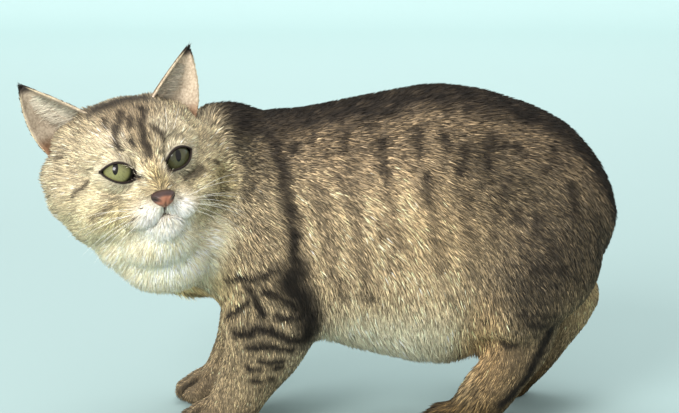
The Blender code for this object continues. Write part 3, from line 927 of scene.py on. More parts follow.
# places in the head's own axes, mm; x is the cat's right
headPatches = [
    ((0, -28, 36), (66, 34, 40), (66, 61, 52), 0.92),
    ((46, -2, 18), (22, 26, 24), (176, 163, 136), 0.75),
    ((-46, -2, 18), (22, 26, 24), (164, 151, 122), 0.7),
    ((42, 6, -22), (26, 34, 22), (196, 183, 146), 0.85),
    ((-44, 8, -16), (26, 34, 18), (156, 144, 108), 0.85),
    ((0, 24, 42), (26, 24, 17), (112, 100, 82), 0.88),
    ((17, 33, 29), (11, 18, 10), (182, 170, 146), 0.7),
    ((-17, 33, 29), (11, 18, 10), (186, 176, 152), 0.7),
    ((1, 42, 25), (9, 15, 15), (118, 106, 86), 0.75),
    ((0, 54, -1), (8, 14, 12), (144, 128, 94), 0.85),
    ((11, 53, -24), (10.5, 15, 9), (244, 239, 226), 1.0),
    ((-11, 53, -24), (10.5, 15, 9), (244, 239, 226), 1.0),
    ((0, 46, -37), (18, 24, 8), (246, 241, 226), 1.0),
    ((29, 38, -21), (12, 14, 10), (176, 162, 122), 0.85),
    ((-29, 38, -21), (12, 14, 10), (186, 174, 142), 0.85),
    # pale under the jaw: the cream throat, painted paler still as painted light against the shade under the jaw
    ((0, 10, -60), (60, 60, 22), (252, 240, 204), 0.95),
]
headBars = [
    (8.0, 0.85, [(19.2, 7, 53), (7.2, 12, 54), (-5.8, 11, 54), (-14.8, 8, 53)]),
    (2.3, 0.85, [(14.2, 31, 40), (16.7, 40, 29.5), (17.2, 45, 19)]),
    (2.8, 0.8, [(6.2, 26, 47), (13.2, 36, 35)]),
    (2.0, 0.8, [(8.2, 44, 27), (7.6, 46, 23)]),
    (3.0, 0.8, [(-3.8, 36, 37.5), (0.7, 47, 23), (-0.8, 49, 16)]),
    (2.5, 0.82, [(-9.8, 40.5, 31), (-12.3, 43, 26), (-14.3, 45, 20)]),
    (2.8, 0.78, [(3.2, 32, 41.5), (5.2, 39, 35)]),
    (2.4, 0.8, [(17.2, 24, 45), (19.2, 30, 39)]),
    (2.8, 0.82, [(-8.8, 26, 46), (-6.3, 33.5, 39)]),
    (1.6, 0.9, [(40.2, 27, 8), (51.2, 23, 0), (59.2, 17, -6.6)]),
    (2.6, 0.45, [(30.2, 38, -11), (40.2, 36, -15), (49.2, 29, -20), (53.2, 20, -23)]),
    (1.8, 0.4, [(33.2, 36, -3), (24.2, 40, -8)]),
    (3.8, 0.6, [(-22.8, 41, -5), (-36.8, 33, -3)]),
    (1.8, 0.65, [(-43.8, 25.5, 2), (-54.8, 19, -3)]),
    (2.4, 0.6, [(-35.8, 36, -22), (-48.8, 20, -30)]),
    (2.5, 0.6, [(52.2, -1, 18), (49.2, 5, 28)]),
    (1.2, 0.7, [(29.2, 40, -19), (15.7, 55, -17)]),
    (1.1, 0.55, [(26.2, 44, -25), (21.2, 54, -22)]),
    (1.2, 0.65, [(-26.8, 40, -19), (-13.3, 55, -17)]),
]
tearLines = [(1.5, 0.6, [(9.5, 48, 1), (8, 50, -4), (8.5, 52, -9)])]


def patched(colours, places, patches):
    # soft stretches of colour
    for centre, reach, colour, strength in patches:
        away = ((places - centre) / reach) ** 2
        goTowards(colours, strength * np.exp(-0.7 * away.sum(1) ** 1.5), colour)


def barred(places, bars):
    # 0 to 1, the strength of the bars at each place
    mask = np.zeros(len(places))
    for half, strength, line in bars:
        corners = np.array(line)
        low, high = corners.min(0) - 3 * half, corners.max(0) + 3 * half
        near = np.all((places > low) & (places < high), axis=1)
        if near.any():
            away = awayFrom(places[near], line)
            mask[near] = np.maximum(mask[near], strength * np.exp(-((away / half) ** 2.4)))
    return mask


def markings(points, onHead):
    # display colours 0 to 255, and how grizzled the coat is there
    ragged = np.stack([noise(points, 5 * mm, shift) for shift in (1, 2, 3)], axis=1) - 0.5
    places = measured(points)
    # the cat's right side repeats the left one, shifted so that the bars follow its legs
    rightSide = places[:, 1] > 0
    legged = smoothStep(130, 70, places[:, 2])
    stepped = np.where(places[:, 0] > 50, 34 * legged, -8 * legged)
    side = places.copy()
    side[:, 0] -= np.where(rightSide, stepped, 0)
    side[:, 1] = -np.abs(side[:, 1])
    colours = np.tile(tints["body"], (len(points), 1))
    patched(colours, side, bodyPatches)
    patched(colours, places, farPatches)
    # the flanks darken towards the back, and a saddle runs along it
    drop = np.interp(places[:, 0], *zip(*backLine)) - places[:, 2]
    across = np.abs(places[:, 1])
    mottle = noise(points, 9 * mm, 4)
    upper = smoothStep(48, 20, drop + 14 * (mottle - 0.5)) * smoothStep(-70, -40, places[:, 0])
    goTowards(colours, 0.75 * upper, tints["back"])
    shifted = side + ragged * 5
    shifted[:, 0] += np.where(rightSide, 5 * np.sin(side[:, 2] * 0.06), 0)
    bars = np.minimum(barred(shifted, bodyBars) * (1.0 + 0.6 * noise(points, 6 * mm, 6)), 0.95)
    bars = np.maximum(bars, barred(side + ragged * 3, legBars))
    saddle = smoothStep(44, 24, across + 16 * (noise(points, 7 * mm, 7) - 0.5)) * smoothStep(24, 8, drop)
    saddle *= smoothStep(-110, -70, places[:, 0]) * (0.72 + 0.5 * mottle)
    bars = np.clip(np.maximum(bars, 0.95 * saddle), 0, 1)
    goTowards(colours, bars, tints["dark"])

    head = inHead(points)
    face = np.tile(tints["face"], (len(points), 1))
    patched(face, head, headPatches)
    blotches = barred(head + ragged * 2.2, headBars)
    goTowards(face, np.clip(blotches, 0, 1), tints["dark"])
    # a pale ring round each eye, a dark inner corner and a line down from it
    for eyeSide in (1, -1):
        eye = inEye(points, eyeSide)
        facing = eye[:, 1] > -4 * mm
        away = -intoOpening(eye) / mm
        ring = bell(np.maximum(away - 1.5, 0), 3.6) * facing * 0.85
        goTowards(face, ring, tints["roundEyes"])
        corner = np.hypot((eye[:, 0] + 13.6 * mm) / 1.5, eye[:, 2] + 2.8 * mm) / (2.2 * mm)
        goTowards(face, facing * np.exp(-(corner**2)), tints["dark"])
        goTowards(face, barred(np.column_stack((head[:, 0] * eyeSide, head[:, 1:])), tearLines), tints["tearLine"])
    goTowards(colours, onHead, face)
    # the clefts between the toes are painted darker: painted shade in the clefts
    colours *= (1 - 0.65 * toeGroove(points, 0.09))[:, None]
    # pale hair and dark bars are hardly grizzled
    cream = smoothStep(150, 215, colours[:, 0])
    grizzle = (1 - 0.72 * cream) * (1 - 0.6 * np.maximum(bars * (1 - onHead), blotches * onHead))
    lumps = 1 + 0.16 * (noise(points, 16 * mm, 8) - 0.5) + 0.16 * (noise(points, 4 * mm, 9) - 0.5)
    return np.clip(colours * lumps[:, None], 4, 255), grizzle


def bareTints(points):
    # the dark rims of the lids, the mouth's line and the skin round the nose
    head = inHead(points)
    rim = np.zeros(len(points))
    for side in (1, -1):
        eye = inEye(points, side)
        front = (eye[:, 1] > -4 * mm) & (np.hypot(eye[:, 0], eye[:, 2]) < 16 * mm)
        corner = np.hypot((eye[:, 0] + 13.4 * mm) / 1.5, eye[:, 2] + 2.6 * mm)
        rim = np.maximum(rim, smoothStep(2.2 * mm, 1.0 * mm, corner) * front)
        rim = np.maximum(rim, smoothStep(-1.5 * mm, -0.8 * mm, intoOpening(eye)) * front)
    lips = np.zeros(len(points))
    for half, line in mouthLines:
        fading = smoothStep(12, 5, np.abs(head[:, 0])) * (head[:, 1] > 38)
        lips = np.maximum(lips, bell(awayFrom(head[:, [0, 2]], line), 0.9) * fading)
    return rim, lips


points = pointsOf(skin.data)
depths, onHead = kept(skin.data, "depth"), kept(skin.data, "onHead")
onHead[bareCount:] = 1
normals = normalsOf(skin.data)
# the skin is painted a tenth darker than the coat: painted shade under the hair
painted = markings(points + normals * depths[:, None], onHead)[0] * 0.9
rim, lips = bareTints(points)
goTowards(painted, lips, tints["lips"])
goTowards(painted, rim, tints["rims"])
# inside the ears the skin is pink, paler at the edge, ruddy at the root
earCount = (len(points) - bareCount) // 2
for index, side in enumerate((1, -1)):
    part = slice(bareCount + index * earCount, bareCount + (index + 1) * earCount)
    height = inHead(points[part])[:, 2]
    # the left ear's inside is painted paler: painted light, standing in for the light that its cup turns away from
    gain = 1 if side > 0 else 1.16  # the left ear's cup faces away from the light
    root = smoothStep(44, 34, height)[:, None] * np.array(tints["earRoot"])
    cup = np.tile(tints["outsideEar"], (earCount, 1))
    goTowards(cup, smoothStep(0.0, 0.35, normals[part] @ earOpening(side)), np.array(tints["insideEar"]) * gain + root)
    goTowards(cup, smoothStep(73, 77.5, height), tints["earTip"])
    painted[part] = cup
colourPoints(skin.data, linear(np.clip(painted, 2, 255)))

skinFinish = Finish("coatSkin", {"Roughness": 0.75, "Specular IOR Level": 0.25})
place = skinFinish.place()
strands = skinFinish.lumps(place, 620, 3.0, 0.65)
patches = skinFinish.lumps(place, 140, 2.0)
tint = skinFinish.tint()
darker = skinFinish.deepened(tint, (0.62, 0.6, 0.58))
between = skinFinish.stepped(strands * 0.7 + patches * 0.3, 0.38, 0.62)
skinFinish.into("Base Color", skinFinish.mixed(between, darker, tint))
skinFinish.into("Roughness", 0.62 + 0.25 * strands)
skinFinish.raised(strands, 0.5, 0.6 * mm)
skin.data.materials.append(skinFinish.material)
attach(skin, "root")
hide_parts(*fleshNodes, "head", "ear_left", "ear_right")
print("skin painted:", sum(len(face.vertices) - 2 for face in skin.data.polygons), "triangles")

# the eyes
irisShape = {
    "radius": 9.9 * mm,
    "bulge": 0.6 * mm,  # the clear front stands this much out of the ball
    "pupilHalfWidth": 1.9 * mm,
    "pupilHalfHeight": 4.0 * mm,
    # where each eye looks, beside and above the camera, in metres
    "looks": {"right": (-0.2, 0.24), "left": (0.34, 0.2)},
    # the lower iris, then the upper iris painted darker: painted shadow of the upper lid
    "low": (118, 118, 76),
    "high": (62, 62, 42),
    "fibre": (138, 136, 94),
    # how light each iris is painted: painted shade makes the left one darker, as it lies in shade
    "light": {"right": 0.97, "left": 0.52},
    # how far the painted lid shadow on the upper iris leans outwards
    "shade": {"right": 0.1, "left": 0.7},  # how much the dark upper part leans outwards
    "edge": (30, 31, 22),
    "white": (30, 23, 20),
    "gloss": {"Roughness": 0.3, "Specular IOR Level": 0.1, "Coat Weight": 0.45, "Coat Roughness": 0.03, "IOR": 1.38},
}


def eyeFinish(name, centre, gaze):
    finish = Finish(name + "Iris", irisShape["gloss"])
    # Y along the gaze, Z upright, as the eyes stay level when the head tilts
    across = gaze.cross(Vector((0, 0, 1))).normalized()
    turn = Matrix((across, gaze, across.cross(gaze)))
    inputs = {"Vector": finish.place(), "Location": -(turn @ centre), "Rotation": turn.to_euler()}
    local = finish.add("ShaderNodeMapping", {"vector_type": "POINT"}, inputs)
    x = finish.add("ShaderNodeSeparateXYZ", {}, {"Vector": local})
    z = Wire(finish, x.socket.node.outputs["Z"])
    r = (x * x + z * z) ** 0.5 / mm
    angle = finish.add("ShaderNodeMath", {"operation": "ARCTAN2"}, {0: x, 1: z})
    spun = finish.add("ShaderNodeCombineXYZ", {}, {"X": angle * 5.0, "Y": r * 0.28})
    fibres = finish.lumps(spun, 3.4, 4.0, 0.6)
    cloud = finish.lumps(spun, 1.1, 2.0, 0.5)
    # each iris painted lighter or darker: painted shade on the left eye
    gain = irisShape["light"][name]
    high, low, fibre = (paint(*(value * gain for value in irisShape[key])) for key in ("high", "low", "fibre"))
    # the upper part of the iris painted darker, leaning outwards: painted shadow of the upper lid
    leaning = z / mm + x / mm * irisShape["shade"][name]
    base = finish.mixed(finish.stepped(leaning, 5.5, -4.0), high, low)
    base = finish.mixed(finish.stepped(fibres, 0.42, 0.7) * 0.5, base, fibre)
    base = finish.mixed(finish.stepped(cloud, 0.45, 0.75) * 0.35, base, high)
    radius = irisShape["radius"] / mm
    base = finish.mixed(finish.stepped(r, radius - 2.0, radius - 0.2), base, paint(*irisShape["edge"]))
    base = finish.mixed(finish.stepped(r, radius - 0.1, radius + 0.4), base, paint(*irisShape["white"]))
    width, height = irisShape["pupilHalfWidth"] / mm, irisShape["pupilHalfHeight"] / mm
    slit = (x / mm / width) * (x / mm / width) + (z / mm / height) * (z / mm / height)
    base = finish.mixed(finish.stepped(slit, 1.2, 0.9), base, paint(3, 3, 3))
    finish.into("Base Color", base)
    finish.raised(fibres, 0.15, 0.2 * mm)
    return finish


for side, name in ((1, "right"), (-1, "left")):
    centre = eyeMatrix(side).translation
    beside, above = irisShape["looks"][name]
    gaze = (camera.location + Vector((beside, 0, above)) - centre).normalized()
    finish = eyeFinish(name, centre, gaze)
    bm = bmesh.new()
    aim = Matrix.Translation(centre) @ gaze.to_track_quat("Z", "Y").to_matrix().to_4x4()
    bmesh.ops.create_uvsphere(bm, u_segments=72, v_segments=48, radius=eyeShape["radius"], matrix=aim)
    for vert in bm.verts:
        spread = (vert.co - centre).angle(gaze)
        vert.co += (vert.co - centre).normalized() * irisShape["bulge"] * math.exp(-((spread / 0.62) ** 4))
    eyeball = newObject(name + "Eyeball", bm, finish)
    eyeball.data.shade_smooth()
    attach(eyeball, "root")
    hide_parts("eye_" + name)

rimFinish = Finish("lidRim", {"Roughness": 0.6, "Specular IOR Level": 0.15})
wet = rimFinish.lumps(rimFinish.place(), 900, 2.0)
rimFinish.into("Base Color", rimFinish.mixed(wet, paint(22, 18, 17), paint(48, 38, 34)))
rimFinish.raised(wet, 0.3, 0.2 * mm)
lidRims = []
count = 72
middle = (eyeShape["outer"] - eyeShape["inner"]) / 2
for side in (1, -1):
    matrix = eyeMatrix(side)
    stations = []
    for i in range(count):
        turn = 2 * math.pi * i / count
        outwards = middle + (eyeShape["outer"] + eyeShape["inner"]) / 2 * math.cos(turn)
        upper, lower = lidEdge(np.array([outwards]))
        up = float(upper[0] if math.sin(turn) >= 0 else lower[0])
        ahead = float(lidShell(np.array([[outwards, 0, up]]))[0])
        radius = (0.55 + 0.55 * float(smoothStep(-8 * mm, -13 * mm, outwards))) * mm  # thicker at the inner corner
        stations.append((matrix @ Vector((side * outwards, ahead - 0.15 * mm, up)), radius))
    lidRims.append(stations)
lids = tube("lidRims", lidRims, rimFinish, closed=True)
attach(lids, "root")
print("eyes and lids made")

# the nose
noseShape = {
    # in the head's own axes, mm and degrees
    "centre": (0, 56.6, -14.2),
    "half": (10.6, 6.6, 5.7),
    "pitch": -16,
    "roll": -5,
    "nostril": (6.3, 0.6),  # beside and above the centre
    "depth": 2.6,
    "wing": 0.5,  # how far the nostrils' edges stand up
    "groove": 0.7,
    "leather": (134.0, 90.0, 66.0),
    "top": (52, 34, 30),
    "edge": (50, 30, 27),
    "hole": (24, 12, 12),
    "seam": (66, 34, 32),
    "gloss": {"Roughness": 0.42, "Specular IOR Level": 0.45, "Coat Weight": 0.15, "Coat Roughness": 0.3},
}
noseFinish = Finish("noseLeather", noseShape["gloss"])
place = noseFinish.place()
inputs = {"Vector": place, "Scale": 1500.0}
pebbles = noseFinish.add("ShaderNodeTexVoronoi", {"feature": "F1"}, inputs, "Distance")
flush = noseFinish.lumps(place, 260, 3.0)
tint = noseFinish.tint()
deep = noseFinish.deepened(tint, (0.7, 0.6, 0.6))
noseFinish.into("Base Color", noseFinish.mixed(noseFinish.stepped(flush, 0.35, 0.65), deep, tint))
noseFinish.raised(pebbles + flush, 0.35, 0.25 * mm)
bm = bmesh.new()
bmesh.ops.create_uvsphere(bm, u_segments=96, v_segments=64, radius=1)
nosePose = headMatrix @ Matrix.Translation([value * mm for value in noseShape["centre"]])
nosePose = nosePose @ turned(noseShape["roll"], "Y") @ turned(noseShape["pitch"], "X")
halfAcross, halfAhead, halfUp = noseShape["half"]
beside, above = noseShape["nostril"]
for vert in bm.verts:
    x, y, z = vert.co
    narrow = 0.36 + 0.64 * ((z + 1) / 2) ** 0.8  # towards the lip
    place = Vector((x * halfAcross * narrow, y * halfAhead, z * halfUp))
    groove = noseShape["groove"] * math.exp(-((place.x / 0.5) ** 2)) * max(y, 0) * smoothStep(0.35, -0.6, z)
    out = abs(place.x) - beside
    wing = math.hypot(out / 2.6, (place.z - above - 0.25 * out) / 1.6)
    hole = noseShape["depth"] * math.exp(-(wing**2.6)) * smoothStep(-0.2, 0.5, y)
    rise = noseShape["wing"] * math.exp(-(((wing - 1.7) / 0.5) ** 2)) * max(y, 0)
    place.y += rise - groove - hole
    vert.co = nosePose @ (place * mm)
nose = newObject("nosePad", bm, noseFinish)
nose.data.shade_smooth()
across, ahead, up = np.array([tuple(nosePose.inverted() @ vert.co) for vert in nose.data.vertices]).T / mm
across = np.abs(across)
colours = np.tile(noseShape["leather"], (len(across), 1))
goTowards(colours, smoothStep(2.4, 4.4, up + 0.085 * across**1.6), noseShape["top"])
goTowards(colours, 0.9 * smoothStep(6.2, 9.4, across), noseShape["edge"])
# the nostrils painted near black and the groove down the middle darker: painted shade in the openings and along the
# groove
holes = np.exp(-(np.hypot((across - beside) / 2.5, (up - above) / 1.7) ** 2.4)) * (ahead > -1)
goTowards(colours, holes, noseShape["hole"])
goTowards(colours, 0.8 * (bell(across, 0.45) * smoothStep(0, -4, up)), noseShape["seam"])
colourPoints(nose.data, linear(colours))
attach(nose, "root")
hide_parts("nose")
print("nose made")

# the coat
coatShape = {
    "headTufts": 88000,
    "bodyTufts": 205000,
    "legTufts": 54000,
    "perPiece": 49000,
    "patch": 0.003,  # each tuft's place on the bake, across
    "wander": 11,  # degrees that the lie wanders
    "gain": 1.2,  # hair shades its neighbours, so it is paler than it looks
    "rootSunk": 0.6 * mm,
    "lengthSpread": (0.75, 1.2),
    "heightSpread": (0.3, 1.1),
    "widthSpread": (0.7, 1.25),
    "sway": 0.10,  # how far tips bend aside, for each length
    "halfWay": (0.42, 0.64, 0.35),  # how far along, how high and how much bent a tuft's middle is
    "shading": (0.12, 0.10),  # how much the shading leans along the hair, and how much it varies
    "toneSpread": (0.09, 0.13),  # everywhere, and more where the coat is grizzled
    "pale": (0.3, 0.3),  # share of pale tufts, and how much paler they are
    "deep": (0.72, 0.32),  # tufts drawn over this are deep, and how much deeper they are
    "dipped": (0.25, 0.4),  # share of dark tips, and how dark
    # how dark each tuft's root is painted: painted shade deep in the coat
    "rootTone": 0.66,
    "tipTone": (0.84, 1.12),
    # mm: the least, then for each mm of the coat's depth, and more over these places
    "length": {"least": 2.0, "deep": 1.6, "breast": 2.5, "fringe": 7.0, "forehead": 0.8, "crest": 3.0},
    "height": {"least": 0.25, "deep": 0.88, "fringe": 3.0, "crest": 1.2},
}


def lieOf(points, normals, onHead):
    # the way the hair runs over the body, then over the head away from the nose
    x, y, z = measured(points).T
    angle = np.interp(z, (0, 20, 50, 90, 120, 170, 210, 240), (150, 105, 88, 78, 62, 36, 18, 4))
    breast = smoothStep(-66, -96, x)
    angle += breast * (np.interp(z, (60, 120, 180, 220), (75, 66, 48, 25)) - angle)
    angle += smoothStep(128, 192, x) * smoothStep(60, 120, z) * (82 - angle)
    hock = smoothStep(80, 50, z) * smoothStep(70, 90, x)
    angle += hock * (np.interp(z, (0, 20, 70), (160, 125, 112)) - angle)
    wide, narrow = noise(points, 17 * mm, 11) - 0.5, noise(points, 6 * mm, 12) - 0.5
    angle = np.radians(angle + (wide * 2 * coatShape["wander"] + narrow * coatShape["wander"]))
    lie = np.stack((np.cos(angle), 0.12 * np.sign(y) * np.sin(angle), -np.sin(angle)), axis=1)
    head = inHead(points)
    away = unit(head - (0, 66, -8)) + (0, -0.25, -0.12)
    swirl = (noise(points, 9 * mm, 13) - 0.5)[:, None] * np.cross(normals, unit(away @ headTurn.T)) * 0.5
    lie = lie + onHead[:, None] * (unit(away @ headTurn.T) + swirl - lie)
    lie -= normals * (lie * normals).sum(1)[:, None]
    return unit(lie)


def lengthOf(points, depth):
    # how long the hair is, and how high its tips stand, where the skin lies depth inside the coat
    x, y, z = measured(points).T
    head = inHead(points)
    deep = depth / mm
    breast = smoothStep(-75, -100, x) * smoothStep(90, 110, z)
    fringe = smoothStep(90, 70, z) * smoothStep(-22, -2, x) * smoothStep(112, 96, x)
    forehead = smoothStep(50, 30, np.linalg.norm(head - (0, 30, 36), axis=1))
    drop = np.interp(x, *zip(*backLine)) - z
    crest = smoothStep(26, 8, drop) * smoothStep(-40, 0, x)
    shares = {"least": 1, "deep": deep, "breast": breast, "fringe": fringe, "forehead": forehead, "crest": crest}
    return (sum(size * shares[name] for name, size in coatShape[key].items()) * mm for key in ("length", "height"))


def roots(made, weights, values, count):
    # even draws over the surface, more where it weighs more
    mesh = made.data
    mesh.calc_loop_triangles()
    corners = rows(mesh.loop_triangles, "vertices", 3, np.int64)
    points, normals = pointsOf(mesh), normalsOf(mesh)
    a, b, c = (points[corners[:, i]] for i in range(3))
    areas = np.linalg.norm(np.cross(b - a, c - a), axis=1) / 2 * weights[corners].mean(1)
    running = np.cumsum(areas)
    draws = (np.arange(count) + rng.random(count)) / count * running[-1]
    face = np.minimum(np.searchsorted(running, draws), len(corners) - 1)
    s, t = np.sqrt(rng.random(count)), rng.random(count)
    share = np.stack((1 - s, s * (1 - t), s * t), axis=1)[:, :, None]
    chosen = corners[face]
    carried = (values[chosen] * share).sum(1)
    return (points[chosen] * share).sum(1), unit((normals[chosen] * share).sum(1)), *carried.T


# a tuft's root, left and right half way, and tip
tuftFaces = np.array([0, 1, 2, 1, 3, 2, 0, 3, 1, 0, 2, 3])
coatFinish = Finish("coatHair", {"Roughness": 0.6, "Specular IOR Level": 0.16})
place = coatFinish.place()
tint = coatFinish.tint()
streak = coatFinish.lumps(place, 900, 2.0)
coatFinish.into("Base Color", coatFinish.mixed(streak, coatFinish.deepened(tint, (0.8, 0.79, 0.78)), tint))
coatFinish.into("Roughness", 0.5 + 0.25 * streak)


def growTufts(name, root, normal, lie, length, height, width, colours, unwrap):
    # closed slivers, widest before half way, shaded like the body that they lie on
    count = len(root)
    lean, vary = coatShape["shading"]
    shadedAs = unit(normal + lie * lean + rng.normal(0, vary, (count, 3)))
    reach = np.sqrt(np.maximum(length**2 - height**2, (0.3 * length) ** 2))[:, None]
    high = height[:, None]
    side = np.cross(normal, lie)
    bend = side * (rng.normal(0, coatShape["sway"], count) * length)[:, None]
    along, up, bent = coatShape["halfWay"]
    middle = root + lie * reach * along + normal * high * up + bend * bent
    half = width[:, None] / 2
    corners = np.stack((
        root - normal * coatShape["rootSunk"],
        middle - side * half,
        middle + side * half,
        root + lie * reach + normal * high + bend,
    ), axis=1)
    corners[:, :, 2] = np.maximum(corners[:, :, 2], 0.2 * mm)
    uv = np.stack([
        unwrap + np.array(shift) * coatShape["patch"] / 2
        for shift in ((0, -0.95), (-0.9, 0), (0.9, 0), (0, 0.95))
    ], axis=1)
    order = rng.permutation(count)
    pieces = math.ceil(count / coatShape["perPiece"])
    for number, chosen in enumerate(np.array_split(order, pieces)):
        size = len(chosen)
        mesh = bpy.data.meshes.new(f"{name}{number + 1}")
        mesh.vertices.add(size * 4)
        mesh.vertices.foreach_set("co", corners[chosen].ravel())
        mesh.loops.add(size * 12)
        loops = (tuftFaces + np.arange(size)[:, None] * 4).ravel()
        mesh.loops.foreach_set("vertex_index", loops.astype(np.int32))
        mesh.polygons.add(size * 4)
        mesh.polygons.foreach_set("loop_start", np.arange(0, size * 12, 3, dtype=np.int32))
        layer = mesh.uv_layers.new(name="OFBake")
        layer.data.foreach_set("uv", np.clip(uv[chosen].reshape(-1, 2)[loops], 0.001, 0.999).ravel())
        mesh.update(calc_edges=True)
        mesh.validate()
        soft = mesh.attributes.new("custom_normal", "FLOAT_VECTOR", "POINT")
        soft.data.foreach_set("vector", np.repeat(shadedAs[chosen], 4, axis=0).ravel())
        colourPoints(mesh, np.minimum(linear(colours[chosen].reshape(-1, 3)) * coatShape["gain"], 0.92))
        mesh.materials.append(coatFinish.material)
        piece = linked(mesh.name, mesh)
        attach(piece, "root")


def tuftColours(points, onHead):
    # root, half way and tip of each tuft: ticked hair, light and dark bands side by side
    tone, grizzle = markings(points, onHead)
    count = len(points)
    everywhere, grizzled = coatShape["toneSpread"]
    strength = np.exp(rng.normal(0, everywhere, count) + rng.normal(0, grizzled, count) * grizzle)[:, None]
    kind = rng.random(count)
    (paleShare, paler), (deepFrom, deeper) = coatShape["pale"], coatShape["deep"]
    pale, deep = (kind < paleShare) * grizzle, (kind > deepFrom) * grizzle
    body = tone * strength
    middle = body * (1 + paler * pale - deeper * deep)[:, None] + pale[:, None] * np.array((8, 5, 0))
    dippedShare, darker = coatShape["dipped"]
    dipped = (rng.random(count) < dippedShare) * grizzle
    tip = middle * (rng.uniform(*coatShape["tipTone"], count) * (1 - darker * dipped))[:, None]
    # the root painted darker: painted shade deep in the coat
    return np.clip(np.stack((body * coatShape["rootTone"], middle, middle, tip), axis=1), 3, 255)


def unwrapOf(made, chosen, name):
    # a thinned copy of a stretch of the skin, laid flat, to look up each root's place on it
    bm = bmeshOf(made.data)
    bm.verts.ensure_lookup_table()
    bmesh.ops.delete(bm, geom=[bm.verts[i] for i in np.flatnonzero(~chosen)], context="VERTS")
    copy = newObject(name, bm)
    fewer = copy.modifiers.new("fewer", "DECIMATE")
    fewer.ratio = 0.1
    fewer.use_collapse_triangulate = True
    applied(copy)
    bpy.context.view_layer.objects.active = copy
    copy.select_set(True)
    bpy.ops.object.mode_set(mode="EDIT")
    bpy.ops.mesh.select_all(action="SELECT")
    bpy.ops.uv.smart_project(angle_limit=math.radians(66), island_margin=0.004)
    bpy.ops.object.mode_set(mode="OBJECT")
    mesh = copy.data
    points = pointsOf(mesh)
    faces = np.array([face.vertices[:] for face in mesh.polygons])
    uv = rows(mesh.uv_layers.active.data, "uv", 2).reshape(-1, 3, 2)
    tree = BVHTree.FromPolygons(points.tolist(), faces.tolist())
    bpy.data.objects.remove(copy)

    def lookUp(places):
        found = [tree.find_nearest(place) for place in places.tolist()]
        at = np.array([tuple(hit[0]) for hit in found])
        face = np.array([hit[2] for hit in found])
        a, b, c = (points[faces[face, i]] for i in range(3))
        across = np.cross(b - a, c - a)
        area = np.maximum((across**2).sum(1), 1e-18)
        first = (np.cross(b - at, c - at) * across).sum(1) / area
        second = (np.cross(c - at, a - at) * across).sum(1) / area
        share = np.stack((first, second, 1 - first - second), axis=1)
        return (uv[face] * share[:, :, None]).sum(1)

    return lookUp


points = pointsOf(skin.data)
places = measured(points)
head = inHead(points)
isEar = np.arange(len(points)) >= bareCount
underBelly = smoothStep(-20, -8, places[:, 0]) * smoothStep(102, 90, places[:, 0])
legShare = smoothStep(92, 74, places[:, 2]) * (1 - underBelly)
legShare *= 1 - onHead
bodyShare = 1 - onHead - legShare
allowed = ~isEar
rim, lips = bareTints(points)
allowed &= (rim < 0.4) & (lips < 0.3)
for side in (1, -1):
    eye = inEye(points, side)
    onLid = (eye[:, 1] > -3 * mm) & (np.hypot(eye[:, 0], eye[:, 2]) < 16 * mm)
    allowed &= ~((intoOpening(eye) > -1.3 * mm) & onLid)
padAway = (points - np.array(nosePose.translation)) @ np.array(nosePose.to_3x3()) / mm
allowed &= ((padAway / (9.4, 9.0, 4.4)) ** 2).sum(1) > 1
normals = normalsOf(skin.data)
allowed &= ~((points[:, 2] < 1.5 * mm) & (normals[:, 2] < -0.3))
faceWeight = 1 + 1.6 * smoothStep(0, 30, head[:, 1])
fringeWeight = 1 + 0.5 * smoothStep(95, 75, places[:, 2])

for name, share, weight, count, width in (
    ("headCoat", onHead, faceWeight, coatShape["headTufts"], 0.32),
    ("bodyCoat", bodyShare, fringeWeight, coatShape["bodyTufts"], 0.46),
    ("legCoat", legShare, 1, coatShape["legTufts"], 0.33),
):
    carried = np.column_stack((depths, onHead))
    root, normal, depth, near = roots(skin, weight * share * allowed, carried, count)
    lie = lieOf(root, normal, near)
    length, height = lengthOf(root, depth)
    length *= rng.uniform(*coatShape["lengthSpread"], count)
    height *= rng.uniform(*coatShape["heightSpread"], count)
    colours = tuftColours(root + normal * 0.9 * depth[:, None] + lie * length[:, None] * 0.55, near)
    widths = width * mm * rng.uniform(*coatShape["widthSpread"], count) * np.clip(length / (6 * mm), 0.6, 1.15)
    lookUp = unwrapOf(skin, (share > 0.001) | (isEar & (name == "headCoat")), name + "Flat")
    growTufts(name, root, normal, lie, length, height, widths, colours, lookUp(root))
    if name == "headCoat":
        headLookUp = lookUp
    print(name, "grown:", count, "tufts")

